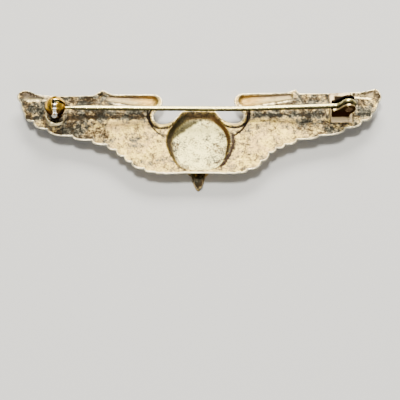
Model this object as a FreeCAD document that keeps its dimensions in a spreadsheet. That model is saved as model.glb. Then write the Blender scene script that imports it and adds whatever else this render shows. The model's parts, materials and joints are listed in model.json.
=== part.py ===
"""Pilot wings badge with a pin back: a struck pair of wings on a shield, a hinged pin stem and a
ball catch.

Millimetres. The badge lies face down on the front of its shield, which is the plane Z = 0, and +Z
points out of its back. +X runs from the catch to the hinge, +Y to the wings' top edge, and the
origin is the bottom centre of the badge's box.

Flat outlines are drawn from a datum: X = 0 on the centre line, Y = 0 on the wings' lower edge.
Every sub-part is drawn about a point of its own, and its Placement puts it in the frame.
"""
import FreeCAD, Part
import Sketcher
import math
import os

Vector = FreeCAD.Vector

# alias: (value, what it is)
SIZES = {
    "datum_y": (-9.525, "Y of the wings' lower edge in the frame"),
    "back_z": (3.6, "Z of the wings' flat back"),
    "sheet_thickness": (0.9, "struck sheet of the wings"),
    "covert_thickness": (0.35, "raised row of short feathers on the front"),
    "arm_root_x": (9.9, "inner end of the hollow leading edge"),
    "arm_root_y": (17.6, "inner end of the hollow leading edge, from the datum"),
    "arm_length": (9.85, "length of that hollow"),
    "arm_tilt": (5.6, "degrees that it rises outwards"),
    "arm_root_radius": (1.6, "hollow at its inner end"),
    "arm_end_radius": (0.75, "hollow at its outer end"),
    "arm_wall": (0.38, "metal around the hollow"),
    "curl_root_x": (31.6, "inner end of the hollow at the wing tip"),
    "curl_root_y": (18.6, "inner end of the hollow at the wing tip, from the datum"),
    "curl_length": (4.9, "length of that hollow"),
    "curl_root_radius": (0.2, "hollow at its inner end"),
    "right_curl_tilt": (4.0, "degrees that the +X tip's hollow rises outwards"),
    "right_curl_radius": (0.95, "+X tip's hollow at its outer end"),
    "left_curl_tilt": (9.3, "degrees that the -X tip's hollow rises outwards"),
    "left_curl_radius": (1.15, "-X tip's hollow at its outer end"),
    "curl_wall": (0.35, "metal around the tip's hollow"),
    "middle_x": (-0.45, "middle of the dish and the shield, which are struck a little off the centre"),
    "notch_shift": (-0.25, "middle between the notches and between the leading edges' inner ends"),
    "dish_depth": (1.3, "dish behind the shield"),
    "dish_centre_y": (7.9, "middle of the dish, from the datum"),
    "shield_thickness": (1.4, "shield from its front to the wings' boss"),
    "field_depth": (0.4, "sunk field of the shield"),
    "rib_width": (1.0, "upright ribs of the shield"),
    "rib_pitch": (2.1, "spacing of the ribs"),
    "chief_y": (11.7, "lower edge of the bar across the shield, from the datum"),
    "chief_width": (0.9, "that bar"),
    "middle_rib_foot": (-1.2, "lower end of the middle rib, from the datum"),
    "inner_rib_foot": (2.6, "lower ends of the ribs beside it, from the datum"),
    "outer_rib_foot": (4.9, "lower ends of the outer ribs, from the datum"),
    "pin_y": (14.6, "line of the pin stem, from the datum"),
    "patch_thickness": (0.3, "soldered patches under the hinge and the catch"),
    "pivot_x": (30.5, "hinge axis"),
    "pivot_height": (2.9, "hinge axis above the back"),
    "hinge_patch_length": (4.35, "along X"),
    "hinge_patch_width": (6.9, "along Y"),
    "hinge_patch_offset": (-1.2, "middle of the patch from the hinge axis, along X"),
    "hinge_patch_shift": (1.05, "middle of the patch from the hinge's middle, along Y"),
    "bracket_width": (2.7, "over both ears"),
    "bracket_gap": (1.8, "between the ears"),
    "bracket_floor": (0.4, "sheet under the ears"),
    "ear_reach": (3.3, "ears in front of the hinge axis"),
    "ear_front_height": (2.5, "front end of the ears above the back"),
    "ear_radius": (1.4, "round end of the ears"),
    "ear_foot": (0.3, "ears behind the hinge axis, at their foot"),
    "rivet_radius": (0.54, "rivet's shank"),
    "rivet_head_radius": (0.76, "rivet's heads"),
    "rivet_head_height": (0.2, "rivet's heads"),
    "solder_height": (0.26, "fillet of solder around a patch"),
    "solder_reach": (0.25, "fillet of solder beyond a patch"),
    "solder_land": (0.1, "top of the fillet"),
    "wire_radius": (0.5, "pin stem"),
    "point_radius": (0.08, "sharpened end of the stem"),
    "point_length": (7.0, "tapered stretch"),
    "stem_tip_x": (-30.5, "sharpened end"),
    "stem_tip_height": (2.75, "above the back"),
    "bend_x": (8.0, "where the stem bends"),
    "bend_height": (1.5, "above the back"),
    "bend_radius": (150.0, "gentle bend of the stem"),
    "eye_radius": (1.12, "centre line of the eye"),
    "eye_sweep": (288.0, "degrees that the wire goes round the rivet"),
    "neck_radius": (2.0, "bend that leads into the eye"),
    "neck_height": (2.3, "lowest point of that bend above the back"),
    "catch_x": (-29.55, "middle of the ball catch"),
    "catch_height": (3.15, "middle of the ball above the back"),
    "catch_patch_radius": (2.25, "round patch"),
    "ball_radius": (2.1, "outside of the ball"),
    "ball_wall": (0.3, "sheet of the ball"),
    "ball_neck_radius": (0.85, "neck under the ball"),
    "ball_foot_radius": (1.25, "foot under the neck"),
    "ball_foot_height": (0.6, "flare from the foot into the neck"),
    "slot_width": (0.9, "slot that the rotor turns in"),
    "slot_start": (-16.0, "degrees, from -Y up over the top"),
    "slot_end": (140.0, "degrees, from -Y up over the top"),
    "mouth_width": (0.64, "notch that the stem drops into"),
    "mouth_height": (2.6, "bottom of the notch's round end above the back"),
    "rotor_radius": (1.7, "rotor's disc"),
    "rotor_width": (0.8, "rotor's disc"),
    "barrel_radius": (1.25, "rotor's barrel"),
    "barrel_width": (2.0, "rotor's barrel"),
    "rotor_bore_radius": (0.75, "room for the stem"),
    "rotor_gap": (0.95, "opening into the bore"),
    "rotor_gap_tilt": (4.0, "degrees that the opening leans to +Y"),
    "lever_thickness": (0.45, "finger tab of the rotor"),
    "lever_length": (2.85, "from the rotor's axis"),
    "lever_head_radius": (0.58, "round end of the tab"),
    "lever_hole_radius": (0.18, "small hole in the tab"),
    "lever_root": (1.2, "where the tab leaves the disc, from the rotor's axis"),
}

# Corners that the long feathers' tips hang between, from the middle outwards. The badge is cut by
# hand, so its two wings differ a little.
RIGHT_CORNERS = [
    (3.6, 0.15), (5.5, 0.15), (7.4, 0.2), (9.6, 1.0), (12.4, 2.95), (14.1, 4.9), (15.6, 5.95),
    (17.4, 6.8), (19.9, 8.0), (24.4, 8.9), (30.0, 10.7), (33.6, 12.4), (35.8, 14.1),
]
LEFT_CORNERS = [
    (3.6, 0.3), (5.4, 0.25), (7.5, 0.3), (9.2, 0.55), (11.4, 1.4), (14.0, 3.05), (15.5, 4.4),
    (17.2, 5.95), (19.1, 7.2), (22.2, 8.3), (26.2, 9.4), (31.4, 11.15), (34.4, 13.15), (36.3, 14.9),
]
LONG_BULGE = 0.92
LONG_DROOP = 0.22

# Corners of the short feathers on the front.
COVERT_CORNERS = [(8.5, 11.5), (14.0, 11.6), (20.0, 12.6), (26.5, 14.2), (33.0, 16.2)]
COVERT_COUNT = 9
COVERT_TOP_Y = 18.8


def make_sheet(doc):
    """The spreadsheet that drives every size."""
    sheet = doc.addObject("Spreadsheet::Sheet", "sizes")
    for row, (alias, (value, note)) in enumerate(SIZES.items(), start=1):
        sheet.set(f"A{row}", note)
        sheet.set(f"B{row}", str(value))
        sheet.setAlias(f"B{row}", alias)
    doc.recompute()
    return sheet


def size(doc, alias):
    return float(getattr(doc.getObject("sizes"), alias))


def bind(item, **expressions):
    """Ties properties to the spreadsheet; a double underscore stands for a dot."""
    for path, expression in expressions.items():
        item.setExpression(path.replace("__", "."), expression)


def polar(centre, radius, degrees):
    angle = math.radians(degrees)
    return (centre[0] + radius * math.cos(angle), centre[1] + radius * math.sin(angle))


# ---------------------------------------------------------------- outlines


def flat(point, side=1):
    return Vector(side * point[0], point[1], 0)


def line(start, end, side=1):
    return Part.LineSegment(flat(start, side), flat(end, side))


def arc(start, middle, end, side=1):
    return Part.Arc(flat(start, side), flat(middle, side), flat(end, side))


def curve(points, side=1):
    bezier = Part.BezierCurve()
    bezier.setPoles([flat(point, side) for point in points])
    return bezier.toBSpline()


def polyline(points):
    """A closed run of straight sides."""
    return [line(start, end) for start, end in zip(points, points[1:] + points[:1])]


def circle(centre, radius):
    return Part.Circle(flat(centre), Vector(0, 0, 1), radius)


def along(corners, count):
    """Points spread evenly along the smooth curve through the corners."""
    spline = Part.BSplineCurve()
    spline.interpolate([flat(corner) for corner in corners])
    points = spline.toShape().discretize(Number=count + 1)
    points = [(point.x, point.y) for point in points]
    points[0] = corners[0]
    points[-1] = corners[-1]
    return points


def feathers(tips, bulge, droop, side):
    """A row of feather tips, each bulging out and then turning back to the next one."""
    row = []
    for start, end in zip(tips, tips[1:]):
        across = end[0] - start[0]
        up = end[1] - start[1]
        control = (start[0] + bulge * across, start[1] + (1 - bulge) * up - droop)
        row.append(curve([start, control, end], side))
    return row


def right_tip():
    """The +X wing's tip and top edge, in to the leading edge: the feathers run out in a point."""
    return [
        curve([RIGHT_CORNERS[-1], (36.7, 14.9), (37.0, 15.7), (37.3, 16.7)]),
        curve([(37.3, 16.7), (37.6, 17.3), (38.1, 17.7), (38.1, 18.4)]),
        curve([(38.1, 18.4), (38.1, 19.3), (37.6, 20.4), (36.9, 20.5)]),
        curve([(36.9, 20.5), (35.9, 20.2), (34.6, 19.7), (33.0, 19.65)]),
        curve([(33.0, 19.65), (29.0, 19.4), (25.0, 19.45), (21.4, 19.5)]),
        curve([(21.4, 19.5), (20.7, 19.5), (20.6, 20.0), (20.4, 20.55)]),
        curve([(20.4, 20.55), (19.6, 20.3), (18.9, 19.8), (17.6, 19.7)]),
    ]


def left_tip():
    """The -X wing's tip and top edge, in to the leading edge: the feathers run out in a lobe."""
    lobe = (36.5, 19.4)
    lobe_radius = 1.6
    lobe_start = polar(lobe, lobe_radius, -35)
    return [
        curve([LEFT_CORNERS[-1], (36.9, 15.8), (37.0, 16.5), (37.1, 17.2)], -1),
        curve([(37.1, 17.2), (37.15, 17.7), (37.5, 18.0), lobe_start], -1),
        arc(lobe_start, polar(lobe, lobe_radius, 20), polar(lobe, lobe_radius, 90), -1),
        curve([polar(lobe, lobe_radius, 90), (35.4, 21.0), (35.1, 20.3), (33.8, 19.95)], -1),
        curve([(33.8, 19.95), (31.5, 19.3), (27.0, 19.45), (22.6, 19.5)], -1),
        curve([(22.6, 19.5), (21.7, 19.6), (21.2, 20.4), (20.4, 20.9)], -1),
        curve([(20.4, 20.9), (19.6, 20.6), (18.9, 19.8), (17.6, 19.7)], -1),
    ]


def half_wing(side, corners, tip, shift):
    """One wing, from the middle of the lower edge to the middle of the top edge.

    The notch and the leading edge's inner end are moved outwards by the shift.
    """
    shoulder = (9.45 + shift, 17.6)
    shoulder_radius = 2.05
    shoulder_top = polar(shoulder, shoulder_radius, 90)
    shoulder_end = polar(shoulder, shoulder_radius, 215)
    notch = (7.55 + shift, 13.95)
    notch_radius = 1.75
    notch_start = polar(notch, notch_radius, 40)
    notch_end = polar(notch, notch_radius, -90)
    lip = (4.2 + shift, 14.4)
    return [
        line((0, 0.25), corners[0], side),
        *feathers(corners, LONG_BULGE, LONG_DROOP, side),
        *tip,
        line((17.6, 19.7), shoulder_top, side),
        arc(shoulder_top, polar(shoulder, shoulder_radius, 150), shoulder_end, side),
        line(shoulder_end, notch_start, side),
        arc(notch_start, polar(notch, notch_radius, -25), notch_end, side),
        curve([notch_end, (5.8 + shift, 12.2), (4.95 + shift, 13.2), lip], side),
        curve([lip, (3.6 + shift, 15.3), (3.2, 15.6), (2.6, 15.6)], side),
        line((2.6, 15.6), (0, 15.6), side),
    ]


def covert_row(side):
    """The raised row of short feathers on the front of one wing."""
    first = COVERT_CORNERS[0]
    last = COVERT_CORNERS[-1]
    row = feathers(along(COVERT_CORNERS, COVERT_COUNT), 0.9, 0.3, side)
    row.append(line(last, (last[0], COVERT_TOP_Y), side))
    row.append(line((last[0], COVERT_TOP_Y), (first[0], COVERT_TOP_Y), side))
    row.append(line((first[0], COVERT_TOP_Y), first, side))
    return row


def symmetric(half, scale=(1, 1), centre_y=0.0):
    """Both halves of an outline given as runs of 2 or 4 points, scaled about its middle."""
    outline = []
    for side in (1, -1):
        for points in half:
            scaled = [(x * scale[0], centre_y + (y - centre_y) * scale[1]) for x, y in points]
            if len(scaled) == 2:
                outline.append(line(*scaled, side))
            else:
                outline.append(curve(scaled, side))
    return outline


# The dish behind the shield, at the wings' back and at its floor.
DISH_RIM = [
    [(0, 15.15), (1.6, 15.15)],
    [(1.6, 15.15), (3.3, 15.15), (3.9, 14.2), (4.6, 13.15)],
    [(4.6, 13.15), (7.3, 9.9), (7.1, 7.0), (5.6, 4.3)],
    [(5.6, 4.3), (4.9, 3.0), (4.2, 1.9), (3.2, 1.25)],
    [(3.2, 1.25), (0, 1.25)],
]
DISH_FLOOR = [
    [(0, 14.2), (1.2, 14.2)],
    [(1.2, 14.2), (2.7, 14.2), (3.4, 13.2), (3.9, 12.3)],
    [(3.9, 12.3), (6.4, 9.5), (6.2, 6.9), (4.8, 4.4)],
    [(4.8, 4.4), (4.1, 3.2), (3.3, 2.3), (2.3, 1.85)],
    [(2.3, 1.85), (0, 1.85)],
]

# The shield, whose point hangs below the wings.
SHIELD = [
    [(0, 16.1), (3.7, 16.1)],
    [(3.7, 16.1), (3.9, 14.9), (6.6, 12.6), (6.3, 8.6)],
    [(6.3, 8.6), (6.0, 4.8), (3.2, 3.4), (1.4, 1.3)],
    [(1.4, 1.3), (1.2, 0.0), (0.65, -1.95), (0, -1.95)],
]


# ---------------------------------------------------------------- features


def new_body(doc, name, x="0", y="0", z="0"):
    """A body whose origin goes to a point given by three expressions."""
    body = doc.addObject("PartDesign::Body", name)
    body.Label = name
    bind(body, Placement__Base__x=x, Placement__Base__y=y, Placement__Base__z=z)
    return body


def new_sketch(body, name, role, edges, offset="0", across="0"):
    """A sketch on one of the body's own origin planes, moved along the plane's normal.

    across moves it along its own horizontal axis.
    """
    sketch = body.newObject("Sketcher::SketchObject", name)
    plane = next(item for item in body.Origin.OriginFeatures if item.Role == role)
    sketch.AttachmentSupport = [(plane, "")]
    sketch.MapMode = "FlatFace"
    bind(sketch, AttachmentOffset__Base__x=across, AttachmentOffset__Base__z=offset)
    sketch.addGeometry(edges, False)
    return sketch


def circle_sketch(body, name, role, radius):
    """A sketch of one circle about the body's origin, its radius tied to the spreadsheet."""
    value = size(body.Document, radius)
    sketch = new_sketch(body, name, role, [circle((0, 0), value)])
    index = sketch.addConstraint(Sketcher.Constraint("Radius", 0, value))
    bind(sketch, **{f"Constraints[{index}]": f"sizes.{radius}"})
    return sketch


def box_edges(low, high):
    return polyline([low, (high[0], low[1]), high, (low[0], high[1])])


def pad(body, name, sketch, length, centred=False, kind="PartDesign::Pad"):
    """A pad of the sketch; centred means half to each side of its plane."""
    feature = body.newObject(kind, name)
    feature.Profile = (sketch, [""])
    feature.Type = "Length"
    if centred:
        feature.SideType = "Symmetric"
    bind(feature, Length=length)
    return feature


def pocket(body, name, sketch, length):
    """A pocket to both sides of the sketch's plane."""
    return pad(body, name, sketch, length, True, "PartDesign::Pocket")


def loft(body, name, first, second, kind="PartDesign::AdditiveLoft"):
    feature = body.newObject(kind, name)
    feature.Profile = (first, [""])
    feature.Sections = [(second, [""])]
    feature.Ruled = True
    return feature


def primitive(body, name, kind, placement=None, **expressions):
    feature = body.newObject(f"PartDesign::{kind}", name)
    if placement:
        feature.Placement = placement
    bind(feature, **expressions)
    return feature


# ---------------------------------------------------------------- wings and shield


def tapered_hollow(body, stem, kinds, root, tilt, side, names, extra):
    """A round-ended cone lying in the plane of the back, added or cut."""
    cone_kind, ball_kind = kinds
    length, first_radius, second_radius, ball_at_root = names
    doc = body.Document
    angle = math.radians(tilt)
    direction = Vector(side * math.cos(angle), math.sin(angle), 0)
    base = Vector(side * root[0], root[1], size(doc, "back_z"))
    turn = FreeCAD.Rotation(Vector(0, 0, 1), direction)
    primitive(
        body,
        f"{stem}_cone",
        cone_kind,
        FreeCAD.Placement(base, turn),
        Radius1=f"sizes.{first_radius} + {extra}",
        Radius2=f"sizes.{second_radius} + {extra}",
        Height=f"sizes.{length}",
    )
    centre = base if ball_at_root else base + direction * size(doc, length)
    ball_radius = first_radius if ball_at_root else second_radius
    primitive(
        body,
        f"{stem}_end",
        ball_kind,
        FreeCAD.Placement(centre, turn),
        Radius=f"sizes.{ball_radius} + {extra}",
    )


def hollows(body, suffix, kinds, arm_extra, curl_extra):
    """The leading edge's hollow and the wing tip's hollow, on both wings."""
    doc = body.Document
    arm_root_x = size(doc, "arm_root_x")
    shift = size(doc, "notch_shift")
    curl_root = (size(doc, "curl_root_x"), size(doc, "curl_root_y"))
    arm = ("arm_length", "arm_root_radius", "arm_end_radius", True)
    for side, hand in ((1, "right"), (-1, "left")):
        arm_root = (arm_root_x + side * shift, size(doc, "arm_root_y"))
        arm_tilt = size(doc, "arm_tilt")
        curl_tilt = size(doc, f"{hand}_curl_tilt")
        curl = ("curl_length", "curl_root_radius", f"{hand}_curl_radius", False)
        tapered_hollow(
            body, f"{hand}_arm_{suffix}", kinds, arm_root, arm_tilt, side, arm, arm_extra
        )
        tapered_hollow(
            body, f"{hand}_curl_{suffix}", kinds, curl_root, curl_tilt, side, curl, curl_extra
        )


def wing_plate(doc):
    """The struck wings: flat back, feathered lower edge, hollow leading edges and a dish."""
    body = new_body(doc, "wing_plate", y="sizes.datum_y")
    centre_y = size(doc, "dish_centre_y")
    sheet_bottom = "sizes.back_z - sizes.sheet_thickness"
    middle = "sizes.middle_x"
    shift = size(doc, "notch_shift")
    right_wing = half_wing(1, RIGHT_CORNERS, right_tip(), shift)
    left_wing = half_wing(-1, LEFT_CORNERS, left_tip(), -shift)
    outline = new_sketch(body, "wing_outline", "XY_Plane", right_wing + left_wing, sheet_bottom)
    pad(body, "wing_sheet", outline, "sizes.sheet_thickness")
    for side, hand in ((1, "right"), (-1, "left")):
        row = new_sketch(
            body,
            f"{hand}_covert_outline",
            "XY_Plane",
            covert_row(side),
            f"{sheet_bottom} - sizes.covert_thickness",
        )
        pad(body, f"{hand}_coverts", row, "sizes.covert_thickness")
    boss_edges = symmetric(DISH_RIM, (1.05, 1.03), centre_y)
    boss_top = new_sketch(body, "boss_top", "XY_Plane", boss_edges, sheet_bottom, middle)
    foot_edges = symmetric(DISH_RIM, (0.97, 0.98), centre_y)
    boss_foot = new_sketch(
        body, "boss_foot", "XY_Plane", foot_edges, "sizes.shield_thickness", middle
    )
    loft(body, "boss", boss_top, boss_foot)
    hollows(
        body, "wall", ("AdditiveCone", "AdditiveSphere"), "sizes.arm_wall", "sizes.curl_wall"
    )
    trim = new_sketch(
        body, "back_trim", "XY_Plane", box_edges((-50, -10), (50, 30)), "sizes.back_z"
    )
    cut = pocket(body, "flat_back", trim, "sizes.back_z")
    cut.SideType = "One side"
    cut.Reversed = True
    rim = new_sketch(body, "dish_rim", "XY_Plane", symmetric(DISH_RIM), "sizes.back_z", middle)
    floor_z = "sizes.back_z - sizes.dish_depth"
    floor = new_sketch(body, "dish_floor", "XY_Plane", symmetric(DISH_FLOOR), floor_z, middle)
    loft(body, "dish", rim, floor, "PartDesign::SubtractiveLoft")
    hollows(body, "hollow", ("SubtractiveCone", "SubtractiveSphere"), "0", "0")
    return body


def shield(doc):
    """The shield: a raised border, a plain bar across it and plain upright ribs."""
    body = new_body(doc, "shield", "sizes.middle_x", "sizes.datum_y")
    centre_y = size(doc, "dish_centre_y")
    outline = new_sketch(body, "shield_outline", "XY_Plane", symmetric(SHIELD))
    pad(body, "shield_plate", outline, "sizes.shield_thickness")
    inner_edges = symmetric(SHIELD, (0.88, 0.905), centre_y + 0.3)
    field = new_sketch(body, "shield_field", "XY_Plane", inner_edges)
    cut = pocket(body, "field", field, "sizes.field_depth")
    cut.SideType = "One side"
    cut.Reversed = True
    half_rib = size(doc, "rib_width") / 2
    pitch = size(doc, "rib_pitch")
    chief_low = size(doc, "chief_y")
    chief_high = chief_low + size(doc, "chief_width")
    ribs = [box_edges((-5.4, chief_low), (5.4, chief_high))]
    feet = [size(doc, f"{place}_rib_foot") for place in ("middle", "inner", "outer")]
    for number in range(-2, 3):
        middle = number * pitch
        foot = feet[abs(number)]
        ribs.append(box_edges((middle - half_rib, foot), (middle + half_rib, chief_low)))
    for number, edges in enumerate(ribs):
        sketch = new_sketch(body, f"rib_outline_{number}", "XY_Plane", edges)
        pad(body, f"rib_{number}", sketch, "sizes.field_depth")
    return body


# ---------------------------------------------------------------- hinge


def chamfered_patch(body, name, sketch):
    """A soldered patch with a softened upper rim."""
    slab = pad(body, name, sketch, "sizes.patch_thickness")
    body.Document.recompute()
    top = size(body.Document, "patch_thickness")
    rim = []
    for number, edge in enumerate(slab.Shape.Edges, start=1):
        if abs(edge.BoundBox.ZMin - top) < 1e-6:
            rim.append(f"Edge{number}")
    chamfer = body.newObject("PartDesign::Chamfer", f"{name}_rim")
    chamfer.Base = (slab, rim)
    bind(chamfer, Size="sizes.patch_thickness / 4")
    return chamfer


def hinge_patch_edges(doc, grow=0.0):
    half_length = size(doc, "hinge_patch_length") / 2 + grow
    half_width = size(doc, "hinge_patch_width") / 2 + grow
    return box_edges((-half_length, -half_width), (half_length, half_width))


def hinge_patch(doc):
    x = "sizes.pivot_x + sizes.hinge_patch_offset"
    y = "sizes.datum_y + sizes.pin_y + sizes.hinge_patch_shift"
    body = new_body(doc, "hinge_patch", x, y, "sizes.back_z")
    outline = new_sketch(body, "hinge_patch_outline", "XY_Plane", hinge_patch_edges(doc))
    chamfered_patch(body, "hinge_patch_slab", outline)
    return body


def hinge_solder(doc):
    """The fillet of solder around the hinge patch."""
    x = "sizes.pivot_x + sizes.hinge_patch_offset"
    y = "sizes.datum_y + sizes.pin_y + sizes.hinge_patch_shift"
    body = new_body(doc, "hinge_solder", x, y, "sizes.back_z")
    reach = size(doc, "solder_reach")
    land = size(doc, "solder_land")
    foot = new_sketch(body, "solder_foot", "XY_Plane", hinge_patch_edges(doc, reach))
    top = new_sketch(
        body, "solder_top", "XY_Plane", hinge_patch_edges(doc, land), "sizes.solder_height"
    )
    loft(body, "solder_bead", foot, top)
    inside = new_sketch(body, "solder_inside", "XY_Plane", hinge_patch_edges(doc))
    pocket(body, "solder_opening", inside, "4 * sizes.solder_height")
    return body


def hinge_bracket(doc):
    """A folded sheet with two ears, drawn from the foot of the hinge axis."""
    body = new_body(
        doc, "hinge_bracket", "sizes.pivot_x", "sizes.datum_y + sizes.pin_y", "sizes.back_z"
    )
    reach = size(doc, "ear_reach")
    bottom = size(doc, "patch_thickness")
    pivot = (0, size(doc, "pivot_height"))
    radius = size(doc, "ear_radius")
    front = size(doc, "ear_front_height")
    foot = size(doc, "ear_foot")
    corner = 0.35
    corner_middle = (corner - reach, front - corner)
    round_start = polar(pivot, radius, 135)
    round_end = polar(pivot, radius, -20)
    ear = [
        line((-reach, bottom), polar(corner_middle, corner, 180)),
        arc(
            polar(corner_middle, corner, 180),
            polar(corner_middle, corner, 135),
            polar(corner_middle, corner, 90),
        ),
        curve([polar(corner_middle, corner, 90), (-2.2, front + 0.05), (-1.6, 3.1), round_start]),
        arc(round_start, polar(pivot, radius, 60), round_end),
        curve([round_end, (1.1, 1.9), (foot, 1.2), (foot, bottom)]),
        line((foot, bottom), (-reach, bottom)),
    ]
    sketch = new_sketch(body, "ear_outline", "XZ_Plane", ear)
    pad(body, "ears", sketch, "sizes.bracket_width", True)
    half_gap = size(doc, "bracket_gap") / 2
    floor = bottom + size(doc, "bracket_floor")
    opening = new_sketch(
        body, "ear_gap_outline", "YZ_Plane", box_edges((-half_gap, floor), (half_gap, 6.0))
    )
    pocket(body, "ear_gap", opening, "4 * sizes.ear_reach")
    hole = new_sketch(
        body, "rivet_hole_outline", "XZ_Plane", [circle(pivot, size(doc, "rivet_radius"))]
    )
    pocket(body, "rivet_hole", hole, "2 * sizes.bracket_width")
    return body


def hinge_rivet(doc):
    """A headed rivet along Y, fast in both ears."""
    body = new_body(
        doc,
        "hinge_rivet",
        "sizes.pivot_x",
        "sizes.datum_y + sizes.pin_y",
        "sizes.back_z + sizes.pivot_height",
    )
    shank = size(doc, "rivet_radius")
    head = size(doc, "rivet_head_radius")
    half = size(doc, "bracket_width") / 2
    end = half + size(doc, "rivet_head_height")
    profile = [
        line((0, -end), (0, end)),
        curve([(0, end), (0.6 * head, end), (head, 0.7 * end + 0.3 * half), (head, half)]),
        line((head, half), (shank, half)),
        line((shank, half), (shank, -half)),
        line((shank, -half), (head, -half)),
        curve([(head, -half), (head, -0.7 * end - 0.3 * half), (0.6 * head, -end), (0, -end)]),
    ]
    sketch = new_sketch(body, "rivet_profile", "XY_Plane", profile)
    turned = body.newObject("PartDesign::Revolution", "rivet_solid")
    turned.Profile = (sketch, [""])
    turned.ReferenceAxis = (sketch, ["V_Axis"])
    turned.Angle = 360
    return body


def pin_stem(doc):
    """One wire: a sharpened point, two nearly straight runs, a neck and the eye.

    It is drawn in the plane of the hinge, from the hinge axis.
    """
    body = new_body(
        doc,
        "pin_stem",
        "sizes.pivot_x",
        "sizes.datum_y + sizes.pin_y",
        "sizes.back_z + sizes.pivot_height",
    )
    pivot = (size(doc, "pivot_x"), size(doc, "pivot_height"))
    tip = (size(doc, "stem_tip_x") - pivot[0], size(doc, "stem_tip_height") - pivot[1])
    bend = (size(doc, "bend_x") - pivot[0], size(doc, "bend_height") - pivot[1])
    eye_radius = size(doc, "eye_radius")
    neck_radius = size(doc, "neck_radius")
    bend_radius = size(doc, "bend_radius")

    # The right run leaves the bend and just touches the neck, which just touches the eye.
    neck_centre_height = size(doc, "neck_height") - pivot[1] + neck_radius
    reach = eye_radius + neck_radius
    neck = (-math.sqrt(reach**2 - neck_centre_height**2), neck_centre_height)
    gap = math.dist(neck, bend)
    run_angle = math.degrees(math.atan2(neck[1] - bend[1], neck[0] - bend[0]))
    run_angle -= math.degrees(math.asin(neck_radius / gap))
    neck_start = polar(neck, neck_radius, run_angle - 90)
    meeting_angle = math.degrees(math.atan2(neck[1], neck[0]))
    meeting = polar((0, 0), eye_radius, meeting_angle)
    neck_middle = polar(neck, neck_radius, (run_angle - 90 + meeting_angle - 180) / 2)
    eye_sweep = size(doc, "eye_sweep")
    eye_middle = polar((0, 0), eye_radius, meeting_angle - eye_sweep / 2)
    eye_end = polar((0, 0), eye_radius, meeting_angle - eye_sweep)

    # The gentle bend between the runs.
    point_angle = math.degrees(math.atan2(bend[1] - tip[1], bend[0] - tip[0]))
    turn = run_angle - point_angle
    tangent = bend_radius * math.tan(math.radians(turn / 2))
    bend_start = polar(bend, -tangent, point_angle)
    bend_end = polar(bend, tangent, run_angle)
    bend_centre = polar(bend_start, bend_radius, point_angle + 90)
    bend_middle = polar(bend_centre, bend_radius, point_angle + turn / 2 - 90)
    shank_start = polar(tip, size(doc, "point_length"), point_angle)

    spine = new_sketch(
        body,
        "stem_line",
        "XZ_Plane",
        [
            line(shank_start, bend_start),
            arc(bend_start, bend_middle, bend_end),
            line(bend_end, neck_start),
            arc(neck_start, neck_middle, meeting),
            arc(meeting, eye_middle, eye_end),
        ],
    )
    section = body.newObject("Sketcher::SketchObject", "wire_section")
    section.AttachmentSupport = [(spine, "Edge1")]
    section.MapMode = "NormalToEdge"
    section.MapPathParameter = 0
    section.addGeometry([circle((0, 0), size(doc, "wire_radius"))], False)
    index = section.addConstraint(
        Sketcher.Constraint("Radius", 0, size(doc, "wire_radius"))
    )
    bind(section, **{f"Constraints[{index}]": "sizes.wire_radius"})
    wire = body.newObject("PartDesign::AdditivePipe", "wire")
    wire.Profile = (section, [""])
    wire.Spine = (spine, [f"Edge{number}" for number in range(1, 6)])
    wire.Transition = "Transformed"
    direction = Vector(tip[0] - shank_start[0], 0, tip[1] - shank_start[1])
    place = FreeCAD.Placement(
        Vector(shank_start[0], 0, shank_start[1]), FreeCAD.Rotation(Vector(0, 0, 1), direction)
    )
    primitive(
        body,
        "point",
        "AdditiveCone",
        place,
        Radius1="sizes.wire_radius",
        Radius2="sizes.point_radius",
        Height="sizes.point_length",
    )
    return body


# ---------------------------------------------------------------- ball catch


def catch_patch(doc):
    body = new_body(
        doc, "catch_patch", "sizes.catch_x", "sizes.datum_y + sizes.pin_y", "sizes.back_z"
    )
    outline = circle_sketch(body, "catch_patch_outline", "XY_Plane", "catch_patch_radius")
    chamfered_patch(body, "catch_patch_slab", outline)
    return body


def catch_solder(doc):
    """The fillet of solder around the round patch."""
    foot = doc.addObject("Part::Cone", "solder_cone")
    bind(
        foot,
        Radius1="sizes.catch_patch_radius + sizes.solder_reach",
        Radius2="sizes.catch_patch_radius + sizes.solder_land",
        Height="sizes.solder_height",
    )
    inside = doc.addObject("Part::Cylinder", "solder_core")
    bind(inside, Radius="sizes.catch_patch_radius", Height="sizes.solder_height")
    ring = doc.addObject("Part::Cut", "catch_solder")
    ring.Label = "catch_solder"
    ring.Base = foot
    ring.Tool = inside
    bind(
        ring,
        Placement__Base__x="sizes.catch_x",
        Placement__Base__y="sizes.datum_y + sizes.pin_y",
        Placement__Base__z="sizes.back_z",
    )
    return ring


def at_ball(doc, name):
    """A body drawn from the middle of the ball."""
    return new_body(
        doc,
        name,
        "sizes.catch_x",
        "sizes.datum_y + sizes.pin_y",
        "sizes.back_z + sizes.catch_height",
    )


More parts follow.
